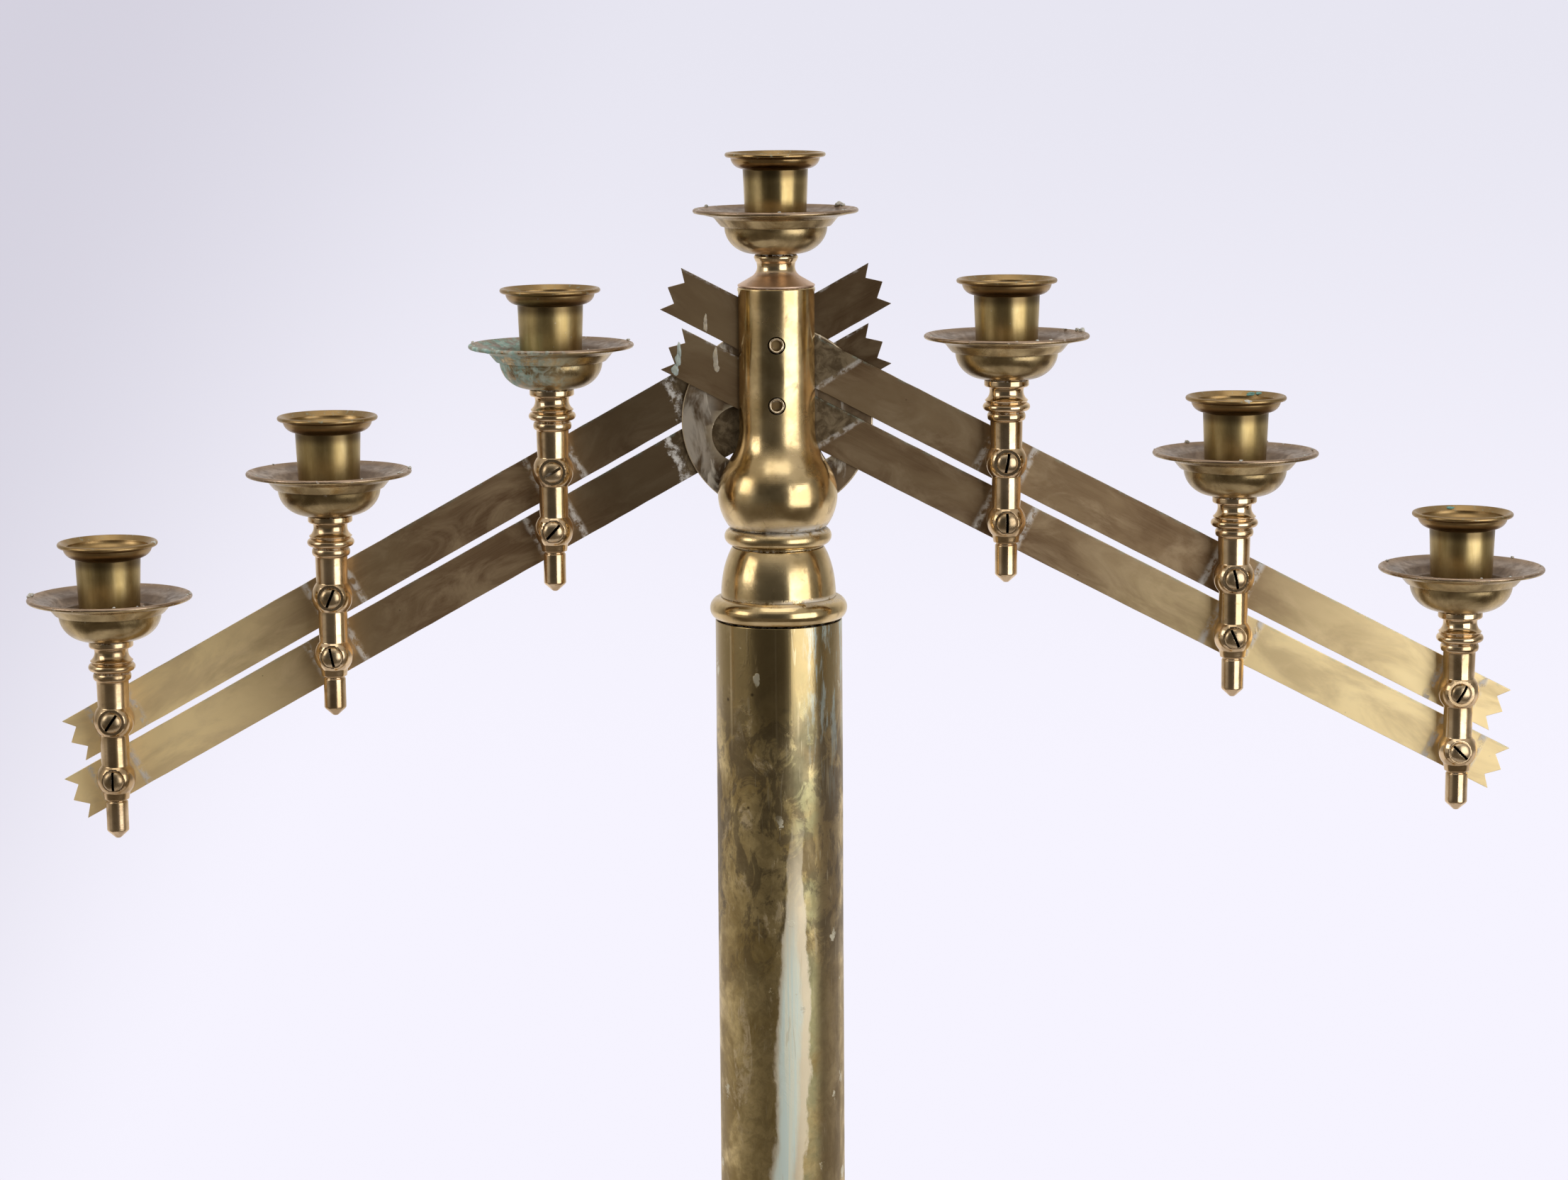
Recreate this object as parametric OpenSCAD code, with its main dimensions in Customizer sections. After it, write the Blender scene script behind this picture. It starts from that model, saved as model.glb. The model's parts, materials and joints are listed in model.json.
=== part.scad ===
// Seven-light floor candelabrum in brass.
//
// A tube column stands on a round weighted base and carries a slotted head. Two
// folding arms pass through the slot. Each arm is a parallelogram of two flat
// bars, so that its three lights stay upright as the arm rises and falls.
//
// Frame: +Z up, origin on the floor under the column. The arms spread along X,
// and the front, where the screw heads show, faces -Y.

/* [Overall] */
// Height from the floor to the rim of the centre cup
overall_h = 1524; // [1200:1:1700]
// Outside diameter of the column tube
column_d = 50.8; // [48:0.2:51]
// Wall thickness of the column tube
column_wall = 1.6; // [1.2:0.1:2]

/* [Arms] */
// Distance between the pivots of neighbouring lights
light_gap = 102; // [90:1:130]
// Height between the upper and the lower pivots
pin_gap = 23.8; // [23.6:0.1:24.6]
// Width of a flat bar
bar_h = 18.4; // [15:0.1:18.5]
// Thickness of a flat bar
bar_t = 1.6; // [1.2:0.1:1.8]
// Length of a bar beyond its outer pivot
bar_overhang = 20.5; // [12:0.5:25]
// Length of a bar's tail beyond the head pivot
bar_tail = 47; // [32:0.5:50]
// Depth of the two notches in the end of a bar
notch_depth = 3.9; // [1:0.1:6]
// How far the middle tooth stands out past the corners
tooth_proud = 1.2; // [0:0.1:2]
// Angle of the left arm below the horizontal
left_drop = 29.2; // [-31.5:0.1:31.5]
// Angle of the right arm below the horizontal
right_drop = 27.4; // [-31.5:0.1:31.5]

/* [Lights] */
// Bore of a candle socket, for a 7/8 in candle
socket_d = 22.3; // [20:0.1:22.6]
// Height of a candle cup from its foot to its rim
cup_h = 38.9; // [34:0.1:44]
// Outside diameter of a cup's rim
cup_rim_d = 39.7; // [38.6:0.1:40.4]
// Outside diameter of a drip pan
pan_d = 65.4; // [61:0.2:72]
// Thickness of a drip pan's sheet
pan_t = 0.8; // [0.6:0.1:1]
// Depth of a drip pan from its rim to its underside
pan_h = 17.8; // [17:0.1:19]

/* [Head] */
// Diameter of the straight part of the head
head_d = 30.8; // [29:0.1:31.2]
// Diameter of the bulb under it
bulb_d = 48; // [46.6:0.1:49]
// Diameter of the two head pins
pin_d = 6; // [5:0.1:6.4]
// Diameter of the round plate between the arms
plate_d = 76; // [68:0.5:76]
// Diameter of the two lightening holes in that plate
plate_hole_d = 22.6; // [16:0.1:22.8]

/* [Base] */
// Outside diameter of the base
base_d = 305; // [290:1:330]
// Height of the base, up to the collar at the column's foot
base_h = 98; // [95:1:120]
// Thickness of the base's spun shell
shell_t = 1.5; // [1:0.1:2]
// Thickness of the felt pad
pad_t = 3; // [2:0.1:5]

/* [Hidden] */
$fn = 96;
LEFT = -1;
RIGHT = 1;
SIDES = [LEFT, RIGHT];
RANKS = ["inner", "middle", "outer"];
FITTINGS = ["post", "pan", "cup", "cup_screw", "pivot_screws", "pivot_nuts"];

// Clearances: a pin turning in a bar, a fixed fit, and faces that slide past
run_gap = 0.06;
fixed_gap = 0.03;
slide_gap = 0.3;

// Fastenings
screw_r = 2;
screw_head_r = 4.1;
screw_head_h = 2.3;
screw_slot_w = 1.1;
screw_slot_depth = 1.3;
nut_af = 7;
nut_h = 3.2;
cup_screw_r = 2.5;
cup_screw_head_r = 4.4;
cup_screw_head_h = 2.1;
tie_rod_r = 4;
tie_nut_af = 13;
tie_nut_h = 6.5;
tie_washer_r = 14;
tie_washer_h = 2;

// Post, measured up from the axis of its upper screw
ball_r = 8.25;
lower_ball_r = 7.8;
ball_flat = 6.4;
stem_r = 6.2;
neck_r = 6.7;
middle_stem_r = 5.7;
spike_r = 4.4;
post_top = 32.7;
post_bore_depth = 12;

// Cup, measured up from its foot
cup_foot_r = 8.4;
cup_foot_h = 1.7;
cup_bottom_r = 11.75;
cup_neck_r = 12.9;
cup_flare_h = 6.9;
cup_bead_r = 0.95;
cup_floor_z = 4.2;
cup_recess_r = 5;
cup_recess_z = 1.6;

// Pan, measured up from its underside
pan_flat_r = 8.5;
pan_bowl_r = 20.4;
pan_bowl_h = 10.8;
pan_step_r = 21.9;
pan_flange_r = 24.6;
pan_flange_h = 14;
pan_bead_r = 0.9;

// Head, measured up from the axis of its upper pin
head_r = head_d / 2;
head_top = 22.1;
bridge_h = 1.6;
slot_w = 6.4;
slot_bottom = -69.2;
bulb_r = bulb_d / 2;
bulb_z = -60.2;
bulb_arc_r = 21.4;
bulb_bottom = -73.1;
flare_top = -34;
spigot_r = 14;
spigot_bottom = -99;
cap_top = 35.1;
cap_neck_r = 7.5;
cap_flange_r = 8.7;
ring_bottom = -81.5;
ring_r = 18;
ring_bead_r = 3.4;
dome_bottom = -101.6;
dome_r = 23;
dome_t = 1.5;
dome_sweep = 51;
collar_bottom = -110.9;
collar_bead_r = 4.65;
collar_r = 22.8;
collar_spigot_h = 8;
plate_t = 1.6;
plate_centre_z = -31;
plate_hole_x = 14.7;
plate_hole_z = -36.4;
pin_r = pin_d / 2;
pin_recess_r = 2.2;
pin_recess_depth = 1.2;

// Heights above the floor
pin_z = overall_h - cap_top - pan_t - cup_h;
column_r = column_d / 2;
column_top = pin_z + collar_bottom;
base_collar_h = 18;
column_seat = 8;
column_bottom = base_h + base_collar_h - column_seat;
base_collar_r = 32;
base_neck_r = 31;
base_collar_spigot_r = base_neck_r - shell_t - 0.3;
weight_r = base_d / 2 - 20;
weight_top = 24;
weight_boss_r = 42;
weight_boss_top = 50;
weight_recess_r = 20;
weight_recess_top = pad_t + 12;
tie_rod_top = pin_z - 83;

// Angles of the screw slots, each light's upper and lower screw, inner to outer
LEFT_SLOTS = [[30, 48], [67, 102], [55, 90]];
RIGHT_SLOTS = [[80, 90], [102, 114], [60, 135]];

function side_name(side) = side == LEFT ? "left" : "right";
function drop(side) = side == LEFT ? left_drop : right_drop;
function slots(side) = side == LEFT ? LEFT_SLOTS : RIGHT_SLOTS;
function light_name(side, rank) = str(side_name(side), "_", RANKS[rank]);

// The right arm's bars lie in front of the plate, and the left arm's behind it
function bar_y(side) = -side * (plate_t / 2 + slide_gap + bar_t / 2);
function bar_front(side) = bar_y(side) - bar_t / 2;
function bar_back(side) = bar_y(side) + bar_t / 2;
function post_y(side) = bar_front(side) - slide_gap - ball_flat;

// Points on an arc, or on part of an ellipse if radius is a pair
function arc(centre, radius, from, to, steps = 10) =
    let (rx = is_list(radius) ? radius[0] : radius)
    let (rz = is_list(radius) ? radius[1] : radius)
    [for (i = [0:steps])
        let (a = from + (to - from) * i / steps)
        centre + [rx * cos(a), rz * sin(a)]];

function reversed(points) =
    [for (i = [len(points) - 1:-1:0]) points[i]];

function left_normal(a, b) = let (d = b - a) [-d[1], d[0]] / norm(d);

// The direction square to a line of points at its i-th point
function normal_at(points, i) =
    let (last = len(points) - 1)
    let (before = i == 0 ? left_normal(points[0], points[1])
                         : left_normal(points[i - 1], points[i]))
    let (after = i == last ? before : left_normal(points[i], points[i + 1]))
    (before + after) / norm(before + after);

function offset_line(points, t) =
    [for (i = [0:len(points) - 1]) points[i] + t * normal_at(points, i)];

// A sheet of thickness t lying to the left of a line of points, spun round Z
module spun_sheet(points, t) {
    rotate_extrude()
        polygon(concat(points, reversed(offset_line(points, t))));
}

// Extrudes a shape drawn in X and Z along Y, from y0 to y0 + length
module along_y(y0, length) {
    translate([0, y0 + length, 0])
        rotate([90, 0, 0])
            linear_extrude(length)
                children();
}

module hexagon(across_flats) {
    circle(r = across_flats / sqrt(3), $fn = 6);
}

module at_head() {
    translate([0, 0, pin_z]) children();
}

module at_light(side, rank) {
    reach = (rank + 1) * light_gap;
    translate([side * reach * cos(drop(side)), post_y(side),
               pin_z - reach * sin(drop(side))])
        children();
}

// ---- Base ----

module base_pad() {
    color("darkgreen")
        cylinder(r = base_d / 2 - 3, h = pad_t);
}

module base_weight() {
    color("dimgray")
        difference() {
            union() {
                translate([0, 0, pad_t])
                    cylinder(r = weight_r, h = weight_top - pad_t);
                cylinder(r = weight_boss_r, h = weight_boss_top);
            }
            cylinder(r = weight_recess_r, h = weight_recess_top);
            cylinder(r = tie_rod_r + 0.5, h = weight_boss_top + 1);
            translate([0, 0, -1])
                cylinder(r = weight_boss_r + 1, h = pad_t + 1);
        }
}

// The outline climbs from the foot bead through a cove, a trumpet and a second
// bead to the neck that holds the collar
module base_shell() {
    foot_r = base_d / 2;
    outline = concat(
        [[foot_r - 1.5, pad_t]],
        arc([foot_r - 5, pad_t + 6], 5, -35, 90),
        arc([foot_r - 8, pad_t + 20], 7, 270, 180),
        arc([foot_r - 19, pad_t + 21], 4, 0, 90, 6),
        arc([foot_r - 19, base_h - 8], [foot_r - 76, base_h - pad_t - 34], 270, 212, 14),
        arc([61, base_h - 35], 5, -30, 110, 8),
        arc([base_neck_r + 26, base_h], [26, 29], 265, 180, 12)
    );
    color("goldenrod")
        spun_sheet(outline, shell_t);
}

module base_collar() {
    bead_z = base_h + 7;
    outline = concat(
        [[tie_rod_r + 0.5, base_h - 10], [base_collar_spigot_r, base_h - 10],
         [base_collar_spigot_r, base_h]],
        arc([base_collar_r - 6, bead_z], 6, -80, 80),
        [[base_collar_r - 3, bead_z + 7.5],
         [base_collar_r - 4, base_h + base_collar_h],
         [column_r + fixed_gap, base_h + base_collar_h],
         [column_r + fixed_gap, column_bottom],
         [tie_rod_r + 0.5, column_bottom]]
    );
    color("gold")
        rotate_extrude() polygon(outline);
}

// ---- Column ----

module column_tube() {
    color("darkgoldenrod")
        translate([0, 0, column_bottom])
            difference() {
                cylinder(r = column_r, h = column_top - column_bottom);
                translate([0, 0, -1])
                    cylinder(r = column_r - column_wall, h = overall_h);
            }
}

module tie_rod() {
    low = weight_recess_top - tie_washer_h - tie_nut_h - 1.5;
    color("silver")
        translate([0, 0, low])
            cylinder(r = tie_rod_r, h = tie_rod_top - low);
}

module tie_rod_nut() {
    color("silver")
        translate([0, 0, weight_recess_top - tie_washer_h - tie_nut_h])
            linear_extrude(tie_nut_h)
                difference() {
                    hexagon(tie_nut_af);
                    circle(r = tie_rod_r + fixed_gap);
                }
}

module tie_rod_washer() {
    color("silver")
        translate([0, 0, weight_recess_top - tie_washer_h])
            difference() {
                cylinder(r = tie_washer_r, h = tie_washer_h);
                translate([0, 0, -1])
                    cylinder(r = tie_rod_r + 0.3, h = tie_washer_h + 2);
            }
}

module column_collar() {
    inner_r = column_r - column_wall - fixed_gap;
    bead_z = (dome_bottom + collar_bottom) / 2;
    outline = concat(
        [[spigot_r + 0.2, collar_bottom - collar_spigot_h],
         [inner_r, collar_bottom - collar_spigot_h],
         [inner_r, collar_bottom]],
        arc([collar_r, bead_z], collar_bead_r, -90, 90, 14),
        [[spigot_r + 0.2, dome_bottom]]
    );
    color("darkgoldenrod")
        at_head()
            rotate_extrude() polygon(outline);
}

module column_dome() {
    reach = 12.7;
    rise = (ring_bottom - dome_bottom) / sin(dome_sweep);
    outline = concat(
        [[dome_r, dome_bottom]],
        arc([dome_r - reach, dome_bottom], [reach, rise], 1, dome_sweep, 12),
        [[spigot_r + fixed_gap, ring_bottom]]
    );
    color("gold")
        at_head()
            spun_sheet(outline, dome_t);
}

// ---- Head ----

module neck_ring() {
    bead_z = (bulb_bottom + ring_bottom) / 2;
    outline = concat(
        [[spigot_r + fixed_gap, ring_bottom], [ring_r, ring_bottom]],
        arc([ring_r, bead_z], ring_bead_r, -90, 90, 14),
        [[ring_r, bulb_bottom], [spigot_r + fixed_gap, bulb_bottom]]
    );
    color("gold")
        at_head()
            rotate_extrude() polygon(outline);
}

// A straight cylinder that flares through a hollow arc into the bulb. The two
// arcs meet where their tangents agree, at angle join_a on each.
module pivot_head() {
    bulb_centre = [bulb_r - bulb_arc_r, bulb_z];
    rise = flare_top - bulb_z;
    offset_r = head_r - bulb_centre[0];
    flare_arc_r = (bulb_arc_r * bulb_arc_r - offset_r * offset_r - rise * rise)
        / (2 * (offset_r - bulb_arc_r));
    join_a = asin(rise / (bulb_arc_r + flare_arc_r));
    end_a = asin((bulb_bottom - bulb_z) / bulb_arc_r);
    outline = concat(
        [[0, head_top], [head_r - 0.5, head_top], [head_r, head_top - 0.5]],
        arc([head_r + flare_arc_r, flare_top], flare_arc_r, 180, 180 + join_a, 12),
        arc(bulb_centre, bulb_arc_r, join_a, end_a, 22),
        [[spigot_r, bulb_bottom], [spigot_r, spigot_bottom], [0, spigot_bottom]]
    );
    slot_top = head_top - bridge_h;
    color("gold")
        at_head()
            difference() {
                rotate_extrude() polygon(outline);
                translate([-bulb_r - 2, -slot_w / 2, slot_bottom])
                    cube([2 * bulb_r + 4, slot_w, slot_top - slot_bottom]);
                for (z = [0, -pin_gap])
                    translate([0, 0, z])
                        along_y(-head_r - 1, head_d + 2)
                            circle(r = pin_r + fixed_gap);
                translate([0, 0, slot_top - 1])
                    cylinder(r = cup_screw_r + fixed_gap, h = bridge_h + 2);
                translate([0, 0, spigot_bottom - 1])
                    cylinder(r = tie_rod_r + fixed_gap, h = tie_rod_top - pin_z - spigot_bottom + 2);
            }
}

module head_cap() {
    outline = concat(
        [[cup_screw_r + 0.3, head_top], [head_r - 0.3, head_top]],
        arc([head_r - 0.6, head_top + 0.5], 0.5, -50, 70, 6),
        arc([cap_neck_r + 4.5, head_top + 7.9], 4.5, 238, 170, 10),
        [[cap_neck_r + 0.2, cap_top - 3.5], [cap_flange_r - 0.6, cap_top - 3]],
        arc([cap_flange_r - 1.2, cap_top - 1.4], 1.2, -20, 60, 6),
        [[cap_flange_r - 0.8, cap_top], [cup_screw_r + 0.3, cap_top]]
    );
    color("gold")
        at_head()
            rotate_extrude() polygon(outline);
}

// The holes have room for the bars to turn, but the plate is fixed by its pins
module spacer_plate() {
    color("darkgoldenrod")
        at_head()
            along_y(-plate_t / 2, plate_t)
                difference() {
                    translate([0, plate_centre_z]) circle(d = plate_d);
                    for (z = [0, -pin_gap])
                        translate([0, z]) circle(r = pin_r + fixed_gap);
                    for (side = SIDES)
                        translate([side * plate_hole_x, plate_hole_z])
                            circle(d = plate_hole_d);
                }
}

// A pin with a hollowed end, trimmed to the round surface of the head
module pivot_pin(z) {
    color("gold")
        translate([0, 0, pin_z + z])
            difference() {
                intersection() {
                    along_y(-head_r - 1, head_d + 2)
                        circle(r = pin_r);
                    translate([0, 0, -pin_d])
                        cylinder(r = head_r, h = 2 * pin_d);
                }
                for (y = [-head_r - 1, head_r - pin_recess_depth])
                    along_y(y, pin_recess_depth + 1)
                        circle(r = pin_recess_r);
            }
}

module upper_pivot_pin() {
    pivot_pin(0);
}

module lower_pivot_pin() {
    pivot_pin(-pin_gap);
}

// ---- Arms ----

// The end of a bar, from its lower corner to its upper one, facing dir
function bar_end(x, dir) =
    let (half = bar_h / 2)
    [[x, -half], [x - dir * notch_depth, -half / 2], [x + dir * tooth_proud, 0],
     [x - dir * notch_depth, half / 2], [x, half]];

module bar_outline() {
    difference() {
        polygon(concat(
            bar_end(3 * light_gap + bar_overhang, 1),
            reversed(bar_end(-bar_tail, -1))
        ));
        circle(r = pin_r + run_gap);
        for (i = [1:3])
            translate([i * light_gap, 0]) circle(r = screw_r + run_gap);
    }
}

module arm_bar(side, z) {
    color("peru")
        translate([0, 0, pin_z + z])
            rotate([0, side * drop(side), 0])
                along_y(bar_front(side), bar_t)
                    scale([side, 1]) bar_outline();
}

// ---- Lights ----

// The spike, the lower ball, the stem, the upper ball and the turned neck
module light_post() {
    lower_z = -pin_gap;
    collar_z = 18;
    ring_z = 21.8;
    outline = concat(
        [[0, lower_z - 24.5], [2.5, lower_z - 24.5], [4.1, lower_z - 22],
         [spike_r, lower_z - 21.4], [spike_r, lower_z - 9.6],
         [spike_r - 0.4, lower_z - 9.2], [spike_r - 0.4, lower_z - 8.8],
         [spike_r + 0.6, lower_z - 8.4]],
        arc([0, lower_z], lower_ball_r, -46, acos(middle_stem_r / lower_ball_r), 12),
        arc([0, 0], ball_r, -acos(middle_stem_r / ball_r), 43, 12),
        [[stem_r + 0.2, collar_z - 1.8]],
        arc([stem_r + 0.6, collar_z], [0.8, 1.6], -70, 80, 6),
        [[stem_r + 0.8, ring_z - 1.9]],
        arc([stem_r + 1.5, ring_z], 1.65, -70, 80, 8),
        arc([neck_r + 4.2, post_top - 4.8], 4.2, 236, 148, 10),
        arc([stem_r + 1.6, post_top - 1.1], [1.05, 1.1], -80, 70, 6),
        [[stem_r + 1.8, post_top], [0, post_top]]
    );
    color("gold")
        difference() {
            rotate_extrude() polygon(outline);
            for (y = [ball_flat, -ball_flat - ball_r])
                translate([-ball_r, y, lower_z - ball_r])
                    cube([2 * ball_r, ball_r, pin_gap + 2 * ball_r]);
            for (z = [0, lower_z])
                translate([0, 0, z])
                    along_y(-ball_r, 2 * ball_r)
                        circle(r = screw_r + fixed_gap);
            translate([0, 0, post_top - post_bore_depth])
                cylinder(r = cup_screw_r + fixed_gap, h = post_bore_depth + 1);
        }
}

// A dished bowl, a stepped wall, a sloping flange and a beaded rim
module pan() {
    rim_r = pan_d / 2;
    underside = concat(
        [[cup_screw_r + 0.3, 0]],
        arc([pan_flat_r, pan_bowl_h], [pan_bowl_r - pan_flat_r, pan_bowl_h], 270, 358, 14),
        [[pan_step_r - 0.6, pan_bowl_h + 0.4], [pan_step_r, pan_bowl_h + 0.8],
         [pan_flange_r - 1.2, pan_flange_h - 1.1], [pan_flange_r, pan_flange_h],
         [pan_flange_r + 2.2, pan_flange_h + 0.9], [rim_r - 1.2, pan_h - 1.7]]
    );
    color("sienna")
        union() {
            spun_sheet(underside, pan_t);
            rotate_extrude()
                translate([rim_r - pan_bead_r, pan_h - pan_bead_r])
                    circle(r = pan_bead_r, $fn = 24);
        }
}

// A tapered body with a bowl-shaped flare and a beaded rim, bored for a candle
module cup() {
    flare_z = cup_h - cup_flare_h;
    bead = [cup_rim_d / 2 - cup_bead_r, cup_h - cup_bead_r];
    centre = [bead[0] - 6.5, bead[1] - cup_bead_r];
    radii = [5.2, 4.6];
    wall = 1.1;
    outline = concat(
        [[cup_screw_r + 0.3, 0], [cup_foot_r, 0], [cup_foot_r, cup_foot_h],
         [cup_bottom_r - 0.8, cup_foot_h + 0.3], [cup_bottom_r, cup_foot_h + 1.2],
         [cup_neck_r, flare_z]],
        arc(centre, radii, 276, 356, 10),
        arc(bead, cup_bead_r, -120, 110, 12),
        arc(centre, radii - [wall, wall], 360, 285, 8),
        [[socket_d / 2, flare_z + wall / 2], [socket_d / 2, cup_floor_z],
         [cup_recess_r, cup_floor_z], [cup_recess_r, cup_recess_z],
         [cup_screw_r + 0.3, cup_recess_z]]
    );
    color("darkkhaki")
        rotate_extrude() polygon(outline);
}

// A slotted screw that stands on z = 0 with its shank downwards
module slotted_screw(shank_r, length, head_r, head_h, slot_w, slot_depth, slot_a) {
    difference() {
        union() {
            translate([0, 0, -length])
                cylinder(r = shank_r, h = length + 0.1);
            rotate_extrude()
                polygon(concat(
                    [[0, 0], [head_r, 0]],
                    arc([0, head_h * 0.2], [head_r, head_h * 0.8], 0, 90, 8)
                ));
        }
        rotate(slot_a)
            translate([-head_r - 1, -slot_w / 2, head_h - slot_depth])
                cube([2 * head_r + 2, slot_w, slot_depth + 1]);
    }
}

// The screw that holds a cup and its pan, from the cup's foot down
module cup_screw(length) {
    color("silver")
        translate([0, 0, cup_recess_z])
            slotted_screw(cup_screw_r, length + cup_recess_z, cup_screw_head_r,
                          cup_screw_head_h, screw_slot_w, 1.1, 20);
}

module pivot_screws(side, rank) {
    length = ball_flat + bar_back(side) - post_y(side) + slide_gap + nut_h + 0.4;
    color("gold")
        for (level = [0, 1])
            translate([0, -ball_flat, -level * pin_gap])
                rotate([90, 0, 0])
                    slotted_screw(screw_r, length, screw_head_r, screw_head_h,
                                  screw_slot_w, screw_slot_depth,
                                  slots(side)[rank][level]);
}

module pivot_nuts(side) {
    nut_y = bar_back(side) - post_y(side) + slide_gap;
    color("gold")
        for (z = [0, -pin_gap])
            translate([0, 0, z])
                along_y(nut_y, nut_h)
                    difference() {
                        hexagon(nut_af);
                        circle(r = screw_r + fixed_gap);
                    }
}

module centre_pan() {
    translate([0, 0, pin_z + cap_top]) pan();
}

module centre_cup() {
    translate([0, 0, pin_z + cap_top + pan_t]) cup();
}

module centre_cup_screw() {
    translate([0, 0, pin_z + cap_top + pan_t])
        cup_screw(pan_t + cap_top - head_top + bridge_h - 0.2);
}

// ---- One line for each node ----

base_pad();
base_weight();
base_shell();
base_collar();
column_tube();
tie_rod();
tie_rod_nut();
tie_rod_washer();
column_collar();
column_dome();
neck_ring();
pivot_head();
head_cap();
spacer_plate();
upper_pivot_pin();
lower_pivot_pin();
centre_pan();
centre_cup();
centre_cup_screw();

for (side = SIDES) {
    arm = side_name(side);
    arm_bar(side, 0);
    arm_bar(side, -pin_gap);
    for (rank = [0:2]) {
        name = light_name(side, rank);
        at_light(side, rank) {
            light_post();
            translate([0, 0, post_top]) pan();
            translate([0, 0, post_top + pan_t]) cup();
            translate([0, 0, post_top + pan_t]) cup_screw(pan_t + 10);
            pivot_screws(side, rank);
            pivot_nuts(side);
        }
    }
}
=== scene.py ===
"""Looks of the seven-light brass candelabrum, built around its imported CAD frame.

Shapes are drawn in millimetres, and materials in metres. Places come from the
frame's boxes and joints.
"""

import json
import random
from math import asin, atan2, ceil, cos, degrees, pi, radians, sin

import bmesh
import bpy
from mathutils import Matrix, Vector, noise


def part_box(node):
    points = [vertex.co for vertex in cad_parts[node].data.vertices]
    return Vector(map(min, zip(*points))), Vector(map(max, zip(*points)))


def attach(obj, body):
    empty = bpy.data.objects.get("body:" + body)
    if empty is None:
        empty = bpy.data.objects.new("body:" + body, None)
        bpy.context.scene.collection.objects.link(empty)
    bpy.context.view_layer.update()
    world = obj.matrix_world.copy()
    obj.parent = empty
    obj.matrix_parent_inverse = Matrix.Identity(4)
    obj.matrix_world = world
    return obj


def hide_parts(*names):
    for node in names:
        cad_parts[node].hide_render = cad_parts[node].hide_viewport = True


MM = 0.001
TINY = 1e-6
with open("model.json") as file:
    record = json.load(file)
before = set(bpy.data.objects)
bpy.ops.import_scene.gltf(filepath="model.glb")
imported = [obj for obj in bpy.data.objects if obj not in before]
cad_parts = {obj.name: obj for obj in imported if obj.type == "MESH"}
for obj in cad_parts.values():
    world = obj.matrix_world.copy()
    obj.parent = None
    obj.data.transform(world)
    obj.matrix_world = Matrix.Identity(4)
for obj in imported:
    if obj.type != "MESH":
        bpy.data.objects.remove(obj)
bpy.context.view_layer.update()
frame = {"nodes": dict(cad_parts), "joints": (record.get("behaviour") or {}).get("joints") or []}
JOINTS = {j["name"]: Vector(j["pos_m"]) for j in frame["joints"]}
SIDES = {"left": -1, "right": 1}
RANKS = ("inner", "middle", "outer")
LEVELS = ("upper", "lower")

# Sizes in millimetres that the CAD part uses too
PIN_GAP = 23.8
LIGHT_GAP = 102
BAR_H, BAR_T, BAR_OVERHANG, BAR_TAIL = 18.4, 1.6, 20.5, 47
NOTCH_DEPTH, TOOTH_PROUD = 3.9, 1.2
BALL_FLAT = 6.4
HEAD_R, BULB_R = 15.4, 24
SLOT_W, SLOT_TOP, SLOT_BOTTOM = 6.4, 20.5, -69.2
HEAD_TOP, HEAD_FOOT = 22.1, -73.1
RING_FOOT, DOME_FOOT, COLLAR_FOOT = -81.5, -101.6, -110.9
STACK_BORE_R = 14.1
COLUMN_R, COLUMN_WALL = 25.4, 1.6
PLATE_R, PLATE_T, PLATE_HOLE_R = 38, 1.6, 11.3
PLATE_HOLE_X, PLATE_HOLE_Z = 14.7, -36.4
BASE_H, BASE_R = 98.0, 152.5

PIN = Vector((0, 0, JOINTS["left_arm_raise"].z))
FRONT = Matrix.Rotation(pi / 2, 4, "X")


def mm(x, y, z):
    return Vector((x, y, z)) * MM


PINS = [PIN + mm(0, 0, -level * PIN_GAP) for level in (0, 1)]


def middle(node):
    low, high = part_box(node)
    return (low + high) / 2


def foot(node):
    """The middle of a node's underside."""
    place = middle(node)
    place.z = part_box(node)[0].z
    return place


def add_object(name, data):
    obj = bpy.data.objects.new(name, data)
    bpy.context.scene.collection.objects.link(obj)
    return obj


# ---- Camera ----


def look(name, place, pitch, roll, lens):
    """A camera facing +Y from a place, tipped down by pitch and turned by roll."""
    ahead = Vector((0, cos(pitch), -sin(pitch)))
    right = Vector((1, 0, 0))
    up = right.cross(ahead)
    turned = cos(roll) * right - sin(roll) * up
    above = sin(roll) * right + cos(roll) * up
    matrix = Matrix((turned, above, -ahead)).transposed().to_4x4()
    matrix.translation = place
    data = bpy.data.cameras.new(name)
    data.lens = lens
    data.sensor_width = 36
    bpy.context.scene.camera = add_object(name, data)
    bpy.context.scene.camera.matrix_world = matrix


look(
    "camera",
    PIN + Vector((0.0022, -1.402, 0.130)),
    pitch=radians(9.295),
    roll=radians(0.43),
    lens=81.4,
)


# ---- Materials ----


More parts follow.
